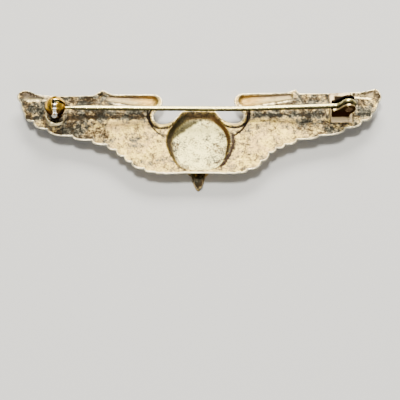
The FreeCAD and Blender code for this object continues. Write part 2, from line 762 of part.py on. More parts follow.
def catch_housing(doc):
    """The hollow ball on its neck, slotted for the rotor and notched for the stem."""
    body = at_ball(doc, "catch_housing")
    outer = size(doc, "ball_radius")
    inner = outer - size(doc, "ball_wall")
    neck = size(doc, "ball_neck_radius")
    foot = size(doc, "ball_foot_radius")
    bottom = size(doc, "patch_thickness") - size(doc, "catch_height")
    neck_top = -math.sqrt(outer**2 - neck**2)
    flare = bottom + size(doc, "ball_foot_height")
    brim = bottom + 0.1
    profile = [
        arc((0, outer), polar((0, 0), outer, 10), (neck, neck_top)),
        line((neck, neck_top), (neck, flare)),
        curve([(neck, flare), (neck, bottom + 0.25), (1.1, brim), (foot, brim)]),
        line((foot, brim), (foot, bottom)),
        line((foot, bottom), (0, bottom)),
        line((0, bottom), (0, -inner)),
        arc((0, -inner), (inner, 0), (0, inner)),
        line((0, inner), (0, outer)),
    ]
    sketch = new_sketch(body, "ball_profile", "XZ_Plane", profile)
    turned = body.newObject("PartDesign::Revolution", "ball")
    turned.Profile = (sketch, [""])
    turned.ReferenceAxis = (sketch, ["V_Axis"])
    turned.Angle = 360

    # Angles in the slot's plane run from -Y up over the top.
    first = 180 - size(doc, "slot_start")
    last = 180 - size(doc, "slot_end")
    reach = 1.3 * outer
    sector = [
        line((0, 0), polar((0, 0), reach, last)),
        arc(
            polar((0, 0), reach, last),
            polar((0, 0), reach, (first + last) / 2),
            polar((0, 0), reach, first),
        ),
        line(polar((0, 0), reach, first), (0, 0)),
    ]
    slot = new_sketch(body, "slot_outline", "YZ_Plane", sector)
    pocket(body, "slot", slot, "sizes.slot_width")

    half = size(doc, "mouth_width") / 2
    level = size(doc, "mouth_height") - size(doc, "catch_height")
    notch = [
        arc((-half, level), (0, level - half), (half, level)),
        line((half, level), (half, reach)),
        line((half, reach), (-half, reach)),
        line((-half, reach), (-half, level)),
    ]
    mouth = new_sketch(body, "mouth_outline", "YZ_Plane", notch, "sizes.ball_radius")
    pocket(body, "mouth", mouth, "2 * sizes.ball_radius")
    return body


def catch_rotor(doc):
    """The turning lock: a disc on a barrel, bored for the stem, with a finger tab at -Y."""
    body = at_ball(doc, "catch_rotor")
    disc = circle_sketch(body, "disc_outline", "YZ_Plane", "rotor_radius")
    pad(body, "disc", disc, "sizes.rotor_width", True)
    barrel = circle_sketch(body, "barrel_outline", "YZ_Plane", "barrel_radius")
    pad(body, "barrel", barrel, "sizes.barrel_width", True)

    half = size(doc, "rotor_width") / 2
    head = size(doc, "lever_head_radius")
    centre = (0, head - size(doc, "lever_length"))
    shoulder = polar(centre, head, 45)
    root = -size(doc, "lever_root")
    neck = 0.8 * half
    tab = [
        line((-neck, root), (-neck, shoulder[1] + 0.2)),
        line((-neck, shoulder[1] + 0.2), (-shoulder[0], shoulder[1])),
        arc((-shoulder[0], shoulder[1]), (0, centre[1] - head), shoulder),
        line(shoulder, (neck, shoulder[1] + 0.2)),
        line((neck, shoulder[1] + 0.2), (neck, root)),
        line((neck, root), (-neck, root)),
    ]
    lever = new_sketch(body, "lever_outline", "XY_Plane", tab)
    pad(body, "lever", lever, "sizes.lever_thickness", True)
    hole_y = centre[1] + 0.12
    hole = new_sketch(
        body, "lever_hole_outline", "XY_Plane", [circle((0, hole_y), size(doc, "lever_hole_radius"))]
    )
    pocket(body, "lever_hole", hole, "2 * sizes.lever_thickness")

    bore = circle_sketch(body, "bore_outline", "YZ_Plane", "rotor_bore_radius")
    pocket(body, "bore", bore, "2 * sizes.barrel_width")
    half_gap = size(doc, "rotor_gap") / 2
    lean = -size(doc, "rotor_gap_tilt")
    reach = 1.5 * size(doc, "rotor_radius")
    corners = [(-half_gap, 0), (half_gap, 0), (half_gap, reach), (-half_gap, reach)]
    leaning = []
    for x, y in corners:
        leaning.append(polar((0, 0), math.hypot(x, y), math.degrees(math.atan2(y, x)) + lean))
    gap = new_sketch(body, "gap_outline", "YZ_Plane", polyline(leaning))
    pocket(body, "gap", gap, "2 * sizes.barrel_width")
    return body


# ---------------------------------------------------------------- document


SUB_PARTS = [
    wing_plate,
    shield,
    hinge_patch,
    hinge_solder,
    hinge_bracket,
    hinge_rivet,
    pin_stem,
    catch_patch,
    catch_solder,
    catch_housing,
    catch_rotor,
]


def check(doc, parts):
    """Stops before anything is written if a feature failed or a sub-part isn't one solid."""
    for item in doc.Objects:
        if "Invalid" in item.State or "Error" in item.State:
            raise RuntimeError(f"{item.Label} failed: {item.State}")
    for part in parts:
        shape = part.Shape
        if shape.isNull() or not shape.isValid() or len(shape.Solids) != 1:
            raise RuntimeError(f"{part.Label} is not one valid solid")
        if part.TypeId == "PartDesign::Body":
            check_cuts(part)


def check_cuts(body):
    """Every cutting feature has to take metal away."""
    before = None
    for feature in body.Group:
        if not feature.isDerivedFrom("PartDesign::Feature"):
            continue
        volume = feature.Shape.Volume
        cutting = "Subtractive" in feature.TypeId or feature.TypeId == "PartDesign::Pocket"
        if cutting and volume > before - 1e-4:
            raise RuntimeError(f"{feature.Label} cuts nothing")
        before = volume


def main():
    doc = FreeCAD.newDocument("pilot_wings")
    make_sheet(doc)
    parts = [build(doc) for build in SUB_PARTS]
    doc.recompute()
    check(doc, parts)
    os.makedirs("parts", exist_ok=True)
    for part in parts:
        part.Shape.exportStep(f"parts/{part.Label}.step")
        box = part.Shape.BoundBox
        print(f"{part.Label}: {part.Shape.Volume:.2f} mm3, Z {box.ZMin:.2f} to {box.ZMax:.2f}")


main()
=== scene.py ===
"""The pilot wings badge as it looks: old struck silver, wire stem, brass ball catch and hinge.

Metres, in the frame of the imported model. Lengths below are given in millimetres and turned into
metres by MM. "Datum" coordinates are X across and Y up from the wings' lower edge, in mm.
"""
import json
import math
import bmesh
import bpy
import numpy as np
from mathutils import Matrix, Vector
from mathutils.bvhtree import BVHTree
from mathutils.geometry import delaunay_2d_cdt
from mathutils.kdtree import KDTree


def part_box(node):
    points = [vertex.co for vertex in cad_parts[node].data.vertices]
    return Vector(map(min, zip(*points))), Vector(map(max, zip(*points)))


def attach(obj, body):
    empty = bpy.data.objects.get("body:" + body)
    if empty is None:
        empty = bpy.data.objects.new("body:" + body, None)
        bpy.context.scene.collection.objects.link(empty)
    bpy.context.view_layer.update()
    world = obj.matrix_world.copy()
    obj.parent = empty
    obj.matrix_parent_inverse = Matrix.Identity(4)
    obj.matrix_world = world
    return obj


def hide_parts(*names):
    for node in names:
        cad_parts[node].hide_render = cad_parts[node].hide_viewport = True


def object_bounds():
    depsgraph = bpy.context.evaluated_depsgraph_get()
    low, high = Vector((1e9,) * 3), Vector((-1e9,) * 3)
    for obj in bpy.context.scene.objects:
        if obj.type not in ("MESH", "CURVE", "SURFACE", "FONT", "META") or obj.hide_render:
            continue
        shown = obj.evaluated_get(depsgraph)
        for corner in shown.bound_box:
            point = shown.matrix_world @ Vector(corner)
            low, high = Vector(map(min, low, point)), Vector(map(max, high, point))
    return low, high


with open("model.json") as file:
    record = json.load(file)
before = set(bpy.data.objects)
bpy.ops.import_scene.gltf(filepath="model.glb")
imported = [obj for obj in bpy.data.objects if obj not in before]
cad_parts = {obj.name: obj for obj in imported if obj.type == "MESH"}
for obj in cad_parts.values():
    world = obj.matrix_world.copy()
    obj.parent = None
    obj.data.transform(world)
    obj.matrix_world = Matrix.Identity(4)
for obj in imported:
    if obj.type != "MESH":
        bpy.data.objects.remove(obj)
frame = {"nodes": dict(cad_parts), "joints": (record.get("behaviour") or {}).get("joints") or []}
cad_low, cad_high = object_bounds()

MM = 0.001
NODES = frame["nodes"]
JOINTS = {joint["name"]: joint for joint in frame["joints"]}
BALL = Vector(JOINTS["catch_turn"]["pos_m"])
BACK_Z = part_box("wing_plate")[1].z
DATUM_Y = -9.525 * MM
SHEET = 0.9 * MM


# ---------------------------------------------------------------- small tools


def smoothstep(low, high, value):
    share = np.clip((value - low) / (high - low), 0.0, 1.0)
    return share * share * (3 - 2 * share)


def bump_of(distance, width):
    """1 on a line, fading to 0 with the distance from it."""
    return np.exp(-((distance / width) ** 2))


def lattice(values, seed):
    """A fixed pseudo-random number from 0 to 1 for each whole-number point."""
    mixed = values[..., 0] * 127.1 + values[..., 1] * 311.7 + seed * 74.7
    return np.modf(np.abs(np.sin(mixed)) * 43758.5453)[0]


def value_noise(points, pitch, seed):
    """Smooth noise from 0 to 1 over flat points, with lumps about one pitch across."""
    scaled = points / pitch
    cell = np.floor(scaled)
    share = scaled - cell
    share = share * share * (3 - 2 * share)
    total = 0.0
    for across in (0, 1):
        for up in (0, 1):
            weight_x = share[:, 0] if across else 1 - share[:, 0]
            weight_y = share[:, 1] if up else 1 - share[:, 1]
            total = total + lattice(cell + (across, up), seed) * weight_x * weight_y
    return total


def layered_noise(points, pitch, seed, layers=3):
    total = 0.0
    weight = 0.0
    for layer in range(layers):
        strength = 0.5**layer
        total = total + strength * value_noise(points, pitch * strength, seed + layer)
        weight += strength
    return total / weight


def new_piece(name, vertices, faces, body, node):
    """A smooth mesh object that rides on a body and stands for a CAD node."""
    mesh = bpy.data.meshes.new(name)
    mesh.from_pydata([tuple(v) for v in vertices], [], [tuple(f) for f in faces])
    mesh.validate()
    mesh.update()
    piece = bpy.data.objects.new(name, mesh)
    bpy.context.scene.collection.objects.link(piece)
    mesh.polygons.foreach_set("use_smooth", [True] * len(mesh.polygons))
    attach(piece, body)
    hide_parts(node)
    return piece


def set_attribute(piece, name, values):
    layer = piece.data.attributes.new(name, "FLOAT", "POINT")
    layer.data.foreach_set("value", np.asarray(values, dtype=np.float32))


# ---------------------------------------------------------------- shapes read from the CAD nodes


def welded(node):
    """The node's mesh with the vertices that its faces share joined up."""
    mesh = bmesh.new()
    mesh.from_mesh(NODES[node].data)
    bmesh.ops.remove_doubles(mesh, verts=mesh.verts, dist=0.002 * MM)
    return mesh


def loops_at(node, z):
    """The closed outlines of a node at one height, longest first, as arrays of flat points."""
    mesh = welded(node)
    geometry = mesh.verts[:] + mesh.edges[:] + mesh.faces[:]
    cut = bmesh.ops.bisect_plane(
        mesh, geom=geometry, dist=1e-8, plane_co=(0, 0, z), plane_no=(0, 0, 1)
    )["geom_cut"]
    neighbours = {}
    for edge in cut:
        if isinstance(edge, bmesh.types.BMEdge):
            first, second = edge.verts
            neighbours.setdefault(first, []).append(second)
            neighbours.setdefault(second, []).append(first)
    loops = []
    while neighbours:
        start = min(neighbours, key=lambda v: (v.co.x, v.co.y))
        loop = [start]
        before = None
        here = start
        while True:
            following = next(v for v in neighbours[here] if v is not before)
            if following is start or following not in neighbours:
                break
            loop.append(following)
            before = here
            here = following
        for vertex in loop:
            neighbours.pop(vertex, None)
        loops.append(np.array([(v.co.x, v.co.y) for v in loop]))
    mesh.free()
    return sorted(loops, key=perimeter, reverse=True)


def perimeter(loop):
    return np.linalg.norm(loop - np.roll(loop, -1, axis=0), axis=1).sum()


def signed_area(loop):
    following = np.roll(loop, -1, axis=0)
    return 0.5 * np.sum(loop[:, 0] * following[:, 1] - following[:, 0] * loop[:, 1])


def refined(loop, spacing):
    """The loop, run anticlockwise, with its long sides divided and its short ones merged."""
    if signed_area(loop) < 0:
        loop = loop[::-1]
    kept = [loop[0]]
    for point in loop[1:]:
        if np.linalg.norm(point - kept[-1]) > 0.2 * spacing:
            kept.append(point)
    points = []
    for start, end in zip(kept, kept[1:] + kept[:1]):
        count = max(1, math.ceil(np.linalg.norm(end - start) / spacing))
        for step in range(count):
            points.append(start + (end - start) * step / count)
    return np.array(points)


def inward_normals(loop):
    ahead = np.roll(loop, -1, axis=0) - loop
    behind = loop - np.roll(loop, 1, axis=0)
    ahead /= np.linalg.norm(ahead, axis=1)[:, None]
    behind /= np.linalg.norm(behind, axis=1)[:, None]
    along = ahead + behind
    along /= np.linalg.norm(along, axis=1)[:, None]
    return np.stack([-along[:, 1], along[:, 0]], axis=1)


def inside(points, loop):
    """Which of the points lie inside the loop."""
    crossings = np.zeros(len(points), dtype=int)
    x, y = points[:, 0], points[:, 1]
    for (x1, y1), (x2, y2) in zip(loop, np.roll(loop, -1, axis=0)):
        spans = (y1 > y) != (y2 > y)
        if spans.any():
            crossing_x = x1 + (y - y1) * (x2 - x1) / (y2 - y1 + 1e-30)
            crossings += spans & (x < crossing_x)
    return crossings % 2 == 1


class Nearest:
    """Which of a set of flat points lies nearest, and how far away."""

    def __init__(self, points):
        self.tree = KDTree(len(points))
        for index, (x, y) in enumerate(points):
            self.tree.insert((x, y, 0), index)
        self.tree.balance()

    def index(self, points):
        return np.array([self.tree.find((x, y, 0))[1] for x, y in points])

    def distance(self, points):
        return np.array([self.tree.find((x, y, 0))[2] for x, y in points])


def heights(node, points, from_above):
    """The node's height at each flat point, seen from above or from below."""
    mesh = welded(node)
    tree = BVHTree.FromBMesh(mesh)
    mesh.free()
    start_z = cad_high.z + 10 * MM if from_above else cad_low.z - 10 * MM
    direction = Vector((0, 0, -1 if from_above else 1))
    found = np.full(len(points), np.nan)
    for index, (x, y) in enumerate(points):
        hit = tree.ray_cast(Vector((x, y, start_z)), direction)[0]
        if hit is not None:
            found[index] = hit.z
    return found


# ---------------------------------------------------------------- a sheet with two shaped faces


GRID = 0.15 * MM
EDGE_RINGS = [0.05 * MM, 0.12 * MM, 0.22 * MM]
EDGE_SLOPE = 0.3 * MM
EDGE_SLOPE_WIDTH = 1.2 * MM
WALL_ROWS = 3


class Sheet:
    """A closed sheet over an outline, whose two faces share one flat triangulation."""

    def __init__(self, outline, grid):
        self.loop = refined(outline, grid)
        self.near = Nearest(refined(self.loop, 0.02 * MM))
        normals = inward_normals(self.loop)
        points = [self.loop]
        for offset in EDGE_RINGS:
            ring = self.loop + normals * offset
            clear = self.near.distance(ring) > 0.93 * offset
            points.append(ring[clear & inside(ring, self.loop)])
        points.append(self.grid_points(grid))
        every = np.concatenate(points)
        count = len(self.loop)
        edges = [(index, (index + 1) % count) for index in range(count)]
        scale = 1 / MM
        result = delaunay_2d_cdt([Vector(p * scale) for p in every], edges, [], 1, 1e-6)
        self.flat = np.array([tuple(v) for v in result[0]]) * MM
        self.triangles = [tuple(face) for face in result[2]]
        self.rim = self.rim_order(count, result[3])
        self.edge_distance = self.near.distance(self.flat)
        self.edge_distance[self.rim] = 0.0
        self.pairs = self.neighbour_pairs()

    def grid_points(self, grid):
        low = self.loop.min(axis=0)
        high = self.loop.max(axis=0)
        columns = np.arange(low[0], high[0], grid)
        rows = np.arange(low[1], high[1], grid * 0.866)
        x, y = np.meshgrid(columns, rows)
        x[1::2] += grid / 2
        points = np.stack([x.ravel(), y.ravel()], axis=1)
        points = points[inside(points, self.loop)]
        return points[self.near.distance(points) > EDGE_RINGS[-1] + 0.6 * grid]

    @staticmethod
    def rim_order(count, origins):
        """The new numbers of the outline's vertices, in the outline's order."""
        order = [None] * count
        for new, sources in enumerate(origins):
            for source in sources:
                if source < count:
                    order[source] = new
        return [index for index in order if index is not None]

    def neighbour_pairs(self):
        corners = np.array(self.triangles)
        pairs = np.concatenate([corners[:, [0, 1]], corners[:, [1, 2]], corners[:, [2, 0]]])
        pairs.sort(axis=1)
        return np.unique(pairs, axis=0)

    def smoothed(self, values, rounds):
        """The values averaged with their neighbours in some rounds, but for those at the rim."""
        first, second = self.pairs.T
        count = np.bincount(self.pairs.ravel(), minlength=len(values))
        on_rim = self.edge_distance < 0.02 * MM
        for _ in range(rounds):
            total = np.bincount(first, values[second], len(values))
            total += np.bincount(second, values[first], len(values))
            moved = 0.5 * values + 0.5 * total / np.maximum(count, 1)
            values = np.where(on_rim, values, moved)
        return values

    def settled(self, values):
        """Heights with the points that a ray missed filled from their neighbours."""
        missing = np.isnan(values)
        values = np.where(missing, np.nanmedian(values), values)
        first, second = self.pairs.T
        for _ in range(12):
            if not missing.any():
                break
            known = ~missing
            total = np.bincount(first, values[second] * known[second], len(values))
            total += np.bincount(second, values[first] * known[first], len(values))
            count = np.bincount(first, known[second], len(values))
            count += np.bincount(second, known[first], len(values))
            fill = missing & (count > 0)
            values[fill] = total[fill] / count[fill]
            missing = missing & ~fill
        return values

    def drawn_in(self, reach, width):
        """The flat points with those near the edge moved inwards, the edge itself by reach."""
        loop = self.flat[self.rim]
        nearest = Nearest(loop).index(self.flat)
        normals = inward_normals(loop)
        for _ in range(6):
            normals = normals + np.roll(normals, 1, axis=0) + np.roll(normals, -1, axis=0)
            normals /= np.linalg.norm(normals, axis=1)[:, None]
        share = 1 - smoothstep(0.0, width, self.edge_distance)
        return self.flat + normals[nearest] * (reach * share)[:, None]

    def closed(self, back, front):
        """Vertices and faces of the closed sheet: the back, the front and the wall between.

        The front is a little smaller, so that the struck edge slopes in under the back.
        """
        total = len(self.flat)
        front_flat = self.drawn_in(EDGE_SLOPE, EDGE_SLOPE_WIDTH)
        vertices = [(x, y, z) for (x, y), z in zip(self.flat, back)]
        vertices += [(x, y, z) for (x, y), z in zip(front_flat, front)]
        faces = list(self.triangles)
        faces += [(a + total, c + total, b + total) for a, b, c in self.triangles]
        rows = [self.rim]
        for row in range(1, WALL_ROWS):
            share = row / WALL_ROWS
            start = len(vertices)
            for index in self.rim:
                x, y = self.flat[index] * (1 - share) + front_flat[index] * share
                vertices.append((x, y, back[index] * (1 - share) + front[index] * share))
            rows.append(list(range(start, start + len(self.rim))))
        rows.append([index + total for index in self.rim])
        count = len(self.rim)
        for upper, lower in zip(rows, rows[1:]):
            for index in range(count):
                following = (index + 1) % count
                faces.append((upper[index], lower[index], lower[following], upper[following]))
        return vertices, faces


def rounding(distance, radius):
    """How far a rounded edge drops at a distance in from it."""
    share = np.clip(distance / radius, 0.0, 1.0)
    return radius * (1 - np.sqrt(1 - (1 - share) ** 2))


# ---------------------------------------------------------------- wings

# Places on the wings, in datum mm, with X counted outwards but for the dish.
ROOT_CENTRE = (3.6, 15.0)
ROOT_RADIUS = 6.93
NOTCH_MIDDLE = (6.9, 14.0)
CENTRE_SHIFT = -0.25
PIT_MIDDLE = (20.75, 19.6)
# The dish's floor lies a little off the dish's middle. DISH_BOWL is how much the floor sags.
DISH_MIDDLE = (-0.45, 8.4)
FLOOR_SHIFT = (0.5, -0.4)
FLOOR_RADIUS = 5.5
DISH_DEPTH = 1.3
DISH_BOWL = 0.14
# Each wing's hollows, first in the arm and then at the tip: where each is looked for, and where
# its ribbon of painted highlight runs, from -1 at the hollow's low edge to 1 at its high one.
HOLLOWS = ((7.7, 21.0, -0.2), (31.6, 37.9, -0.75))
HOLLOW_LOW_Y = 16.0
HOLLOW_HIGH_Y = 21.0


def outwards(points, side):
    """Points or a loop with this side's X counted outwards; a loop stays anticlockwise."""
    return points if side > 0 else (points * (-1, 1))[::-1]


def cusps_of(loop, side, low_y, high_y):
    """The sharp inward corners between feather tips on one side, innermost first."""
    loop = outwards(loop, side)
    reach = 0.25 * MM
    step = max(1, round(reach / (perimeter(loop) / len(loop))))
    ahead = np.roll(loop, -step, axis=0) - loop
    behind = loop - np.roll(loop, step, axis=0)
    turn = np.arctan2(
        behind[:, 0] * ahead[:, 1] - behind[:, 1] * ahead[:, 0], (behind * ahead).sum(axis=1)
    )
    datum_y = (loop[:, 1] - DATUM_Y) / MM
    wanted = (turn < -0.3) & (loop[:, 0] > 3 * MM) & (datum_y > low_y) & (datum_y < high_y)
    corners = []
    for index in np.where(wanted)[0]:
        window = [turn[(index + shift) % len(loop)] for shift in range(-step, step + 1)]
        if turn[index] <= min(window):
            corners.append((loop[index][0] / MM, datum_y[index]))
    corners.sort()
    kept = []
    for corner in corners:
        if not kept or math.dist(corner, kept[-1]) > 0.6:
            kept.append(corner)
    return kept


def feather_relief(x, y, tips, roots, crown, barb_pitch):
    """How far a row of feathers stands out, in mm, at datum points with x measured outwards.

    tips and roots are the ends of the lines between neighbouring feathers.
    """
    sides = []
    for tip, root in zip(tips, roots):
        length = math.dist(tip, root)
        along = ((tip[0] - root[0]) / length, (tip[1] - root[1]) / length)
        sides.append((x - root[0]) * -along[1] + (y - root[1]) * along[0])
    sides = np.array(sides)
    index = np.clip((sides > 0).sum(axis=0) - 1, 0, len(tips) - 2)
    column = np.arange(len(x))
    inner = np.maximum(sides[index, column], 0.0)
    outer = np.maximum(-sides[index + 1, column], 0.0)
    width = np.maximum(inner + outer, 1e-6)
    share = inner / width
    across = (share - 0.5) * width
    tips = np.array(tips)
    roots = np.array(roots)
    middle = (tips[index] + tips[index + 1]) / 2
    start = (roots[index] + roots[index + 1]) / 2
    direction = middle - start
    direction /= np.linalg.norm(direction, axis=1)[:, None]
    down = (x - start[:, 0]) * direction[:, 0] + (y - start[:, 1]) * direction[:, 1]
    crowned = crown * np.power(np.clip(1 - (2 * share - 1) ** 2, 0, 1), 0.6)
    shaft = 0.07 * bump_of(across, 0.1)
    barbs = 0.028 * np.sin(2 * math.pi * (down + 1.1 * np.abs(across)) / barb_pitch)
    overlap = 0.06 * (share - 0.5)
    return crowned + shaft + barbs * (1 - bump_of(across, 0.16)) + overlap


def scale_relief(x, y, pitch, height):
    """Rows of small overlapping scales, in mm."""
    row = np.floor(y / (0.62 * pitch))
    share_y = y / (0.62 * pitch) - row
    shifted = x / pitch + 0.5 * np.mod(row, 2)
    share_x = shifted - np.floor(shifted) - 0.5
    dome = np.clip(1 - (2.0 * share_x) ** 2 - 0.55 * share_y**2, 0, 1)
    return height * np.sqrt(dome)


def shaped_dish(sheet, base):
    """The back with the dish struck as one smooth bowl inside the model's rim.

    Gives the heights and how far each point lies outside the rim, in mm, negative inside it.
    """
    loops = loops_at("wing_plate", BACK_Z - 0.03 * MM)
    middle = np.array([[DISH_MIDDLE[0] * MM, DISH_MIDDLE[1] * MM + DATUM_Y]])
    rim = min((loop for loop in loops if inside(middle, loop)[0]), key=perimeter)
    within = inside(sheet.flat, rim)
    from_rim = Nearest(refined(rim, 0.05 * MM)).distance(sheet.flat) / MM
    x = sheet.flat[:, 0] / MM - DISH_MIDDLE[0]
    y = (sheet.flat[:, 1] - DATUM_Y) / MM
    wider_low_down = 1.3 * smoothstep(7.0, 1.5, y)
    floor_radius = FLOOR_RADIUS + wider_low_down
    off_floor = np.hypot(x - FLOOR_SHIFT[0], y - DISH_MIDDLE[1] - FLOOR_SHIFT[1]) - floor_radius
    down_wall = from_rim / (from_rim + np.maximum(off_floor, 1e-6))
    from_middle = np.hypot(x, y - DISH_MIDDLE[1]) / 6.0
    bowl = DISH_BOWL * np.clip(1 - from_middle**2, 0, 1)
    depth = (DISH_DEPTH - DISH_BOWL) * smoothstep(-0.15, 1.0, down_wall) + bowl
    shaped = np.where(within, BACK_Z - depth * MM, base)
    share = np.where(within, smoothstep(0.1, 0.6, from_rim), 1 - smoothstep(0.2, 0.5, from_rim))
    rounded = sheet.smoothed(shaped, 5)
    bowl_shape = sheet.smoothed(rounded, 30)
    smoothest = np.where(within, smoothstep(0.5, 1.4, from_rim), 0)
    rounded = rounded + (bowl_shape - rounded) * smoothest
    return shaped + (rounded - shaped) * share, np.where(within, -from_rim, from_rim)


def shaped_hollow(sheet, base, side, x_low, x_high, ribbon_place):
    """The back's heights with one hollow cut steeply under its top edge and gently below.

    The model's own hollow says where. Place runs from -1 at its low edge to 1 at its high one, and
    the gentle slope meets the steep one at turn. Also gives the share of painted highlight at each
    point, on the ribbon inside the hollow and on its lips.
    """
    columns = np.arange(x_low, x_high, 0.1)
    rows = np.arange(HOLLOW_LOW_Y, HOLLOW_HIGH_Y, 0.04)
    x, y = np.meshgrid(columns, rows, indexing="ij")
    probes = np.stack([side * x.ravel() * MM, y.ravel() * MM + DATUM_Y], axis=1)
    found = heights("wing_plate", probes, True).reshape(x.shape)
    cut = found < BACK_Z - 0.03 * MM
    used = cut.any(axis=1)
    lowest = rows[cut.argmax(axis=1)[used]]
    highest = rows[len(rows) - 1 - cut[:, ::-1].argmax(axis=1)[used]]
    columns = columns[used]
    here_x = side * sheet.flat[:, 0] / MM
    here_y = (sheet.flat[:, 1] - DATUM_Y) / MM
    low = np.interp(here_x, columns, lowest)
    high = np.interp(here_x, columns, highest)
    half = np.maximum((high - low) / 2, 0.05)
    place = (here_y - (high + low) / 2) / half
    turn = 0.76
    gentle = np.sin(np.clip((place + 1) / (1 + turn), 0, 1) * math.pi / 2)
    steep = np.sqrt(1 - np.clip((place - turn) / (1 - turn), 0, 1) ** 2)
    before_end = columns[-1] - here_x
    from_root = np.clip((here_x - columns[0]) / 1.5, 0, 1)
    ends = np.sqrt(1 - (1 - from_root) ** 2) * smoothstep(0, 1.8, before_end)
    depth = 0.5 * half * ends * np.where(place < turn, gentle, steep)
    between = (here_x > columns[0]) & (before_end > 0)
    within = (np.abs(place) < 1) & between
    cut_back = np.where(within, np.minimum(BACK_Z - depth * MM, BACK_Z), base)
    fading = smoothstep(0.4, 2.2, before_end)
    ribbon = np.where(within, fading * bump_of(place - ribbon_place, 0.36), 0.0)
    outside = (np.abs(place) - 1) * half
    lip = np.where(between, fading * bump_of(outside - 0.16, 0.22), 0.0)
    return cut_back, np.stack([ribbon, lip])


def wing_back(sheet, base, from_dish, hollow_highlights):
    """The worn back of the wings, and the masks that its material reads for tarnish, painted shade
    and painted highlights.
    """
    side_x = sheet.flat[:, 0] / MM
    x = np.abs(side_x)
    y = (sheet.flat[:, 1] - DATUM_Y) / MM
    edge = sheet.edge_distance / MM
    depth = (BACK_Z - base) / MM
    in_dish = (x < 7.9) & (y < 15.4)
    flat_share = 1 - smoothstep(0.02, 0.25, depth)

    # The notches and the lines round them are struck a little off the wings' middle.
    inner_x = x - np.sign(side_x) * CENTRE_SHIFT
    from_notch = np.hypot(inner_x - NOTCH_MIDDLE[0], y - NOTCH_MIDDLE[1])
    near_notch = (1 - smoothstep(3.3, 4.1, from_notch)) * (1 - smoothstep(15.6, 16.6, y))
    roll = near_notch * bump_of(edge - 0.42, 0.4)
    groove = near_notch * bump_of(edge - 1.05, 0.2) * flat_share * (x > 4.5)
    dish_side = smoothstep(1.2, 2.0, y) * (1 - smoothstep(9.2, 10.6, y)) * (side_x > 2)
    dish_groove = dish_side * bump_of(from_dish - 0.6, 0.38)

    from_arc = np.hypot(inner_x - ROOT_CENTRE[0], y - ROOT_CENTRE[1]) - ROOT_RADIUS
    angle = np.degrees(np.arctan2(y - ROOT_CENTRE[1], inner_x - ROOT_CENTRE[0]))
    on_arc = smoothstep(-64, -54, angle) * (1 - smoothstep(2, 12, angle)) * flat_share
    step = on_arc * (1 - smoothstep(-0.12, 0.1, from_arc)) * smoothstep(0.85, 1.15, edge)
    line = on_arc * bump_of(from_arc + 0.04, 0.2)

    lumps = layered_noise(sheet.flat, 1.5 * MM, 3) - 0.5
    grain = layered_noise(sheet.flat, 0.5 * MM, 11, 2) - 0.5
    tip_share = smoothstep(20, 30, x)
    pits = smoothstep(0.70, 0.86, value_noise(sheet.flat, 0.6 * MM, 23)) * (0.35 + tip_share)
    worn = smoothstep(0.1, 0.45, edge)
    floor_share = np.where(in_dish, smoothstep(0.85, 1.2, depth), 0.0)
    coarse = (1 - 0.8 * floor_share) * worn

    # The small point on the left wing's leading edge is hollow.
    from_pit = np.hypot(x - PIT_MIDDLE[0], y - PIT_MIDDLE[1])
    pit = np.where(side_x < 0, bump_of(from_pit, 0.45), 0.0) * smoothstep(0.2, 0.5, edge)
    ribbon, lip = hollow_highlights
    # The hollows' lips and a ring round the pit get a painted highlight, carried by the rim mask.
    bright_lip = np.clip(lip + 2.0 * pit * (1 - pit), 0, 1)

    rise = 0.06 * roll - 0.2 * groove - 0.14 * step - 0.17 * line - 0.06 * dish_groove
    rise += (0.06 * lumps + 0.09 * grain - 0.07 * pits) * coarse - 0.5 * pit
    back = base + rise * MM - rounding(sheet.edge_distance, 0.2 * MM)

    deep = depth / DISH_DEPTH
    wall = np.where(in_dish, np.clip(4 * deep * (1 - deep), 0, 1), 0.0)
    # Painted shadow of the dish's top wall on the upper part of its floor.
    wall_shadow_on_floor = floor_share * smoothstep(11.4, 14.2, y + 0.15 * side_x)
    # creases: tarnish and painted shade in the grooves and lines, painted shade in the pit, and
    # the painted wall shadow on the floor.
    creases = groove + line + 1.4 * dish_groove + 0.3 * pits * coarse
    creases += 0.7 * pit + 0.6 * wall_shadow_on_floor
    # rim is the worn edges with a painted highlight, also on the hollows' lips.
    masks = {
        "rim": np.maximum(1 - smoothstep(0.08, 0.36, edge), 0.5 * bright_lip),
        "crease": np.clip(creases, 0, 1),
        "dish": floor_share,
        "wall": smoothstep(0.35, 0.95, wall),
        "hollow": np.where(in_dish, 0.0, smoothstep(0.06, 0.3, depth)),
        "ribbon": ribbon,
    }
    return back, masks


def side_relief(x, y, edge, stands, outline_cusps, covert_cusps):
    """How far the front of one wing stands out, in mm, with x counted outwards."""
    tips = [(2.0, -0.5)] + outline_cusps + [(38.6, 17.0), (39.5, 20.0)]
    roots = [(5.2 + 0.66 * (tip[0] - 3.6), 15.4 + 0.105 * tip[0]) for tip in tips]
    long_feathers = feather_relief(x, y, tips, roots, 0.17, 0.62)

    covert_tips = [(7.6, 11.4)] + covert_cusps + [(33.4, 16.4), (35.5, 17.2)]
    covert_roots = [(tip[0] - 2.2, 18.2 + 0.03 * tip[0]) for tip in covert_tips]
    short_feathers = feather_relief(x, y, covert_tips, covert_roots, 0.14, 0.5)

    arm_y = 17.0 + 0.35 * smoothstep(18, 32, x)
    on_arm = smoothstep(-0.15, 0.15, y - arm_y)
    scales = scale_relief(x, y, 1.15, 0.14) + 0.25 * np.sqrt(np.clip((y - arm_y) / 1.4, 0, 1))

    on_coverts = smoothstep(0.12, 0.3, stands) * (y > 11) * (x > 7.4)
    relief = long_feathers * (1 - on_coverts) + short_feathers * on_coverts
    relief = relief * (1 - on_arm) + scales * on_arm
    relief *= smoothstep(6.6, 7.6, np.where(y > 0.5, x, 9.0))
    return relief * smoothstep(0.0, 0.35, edge)


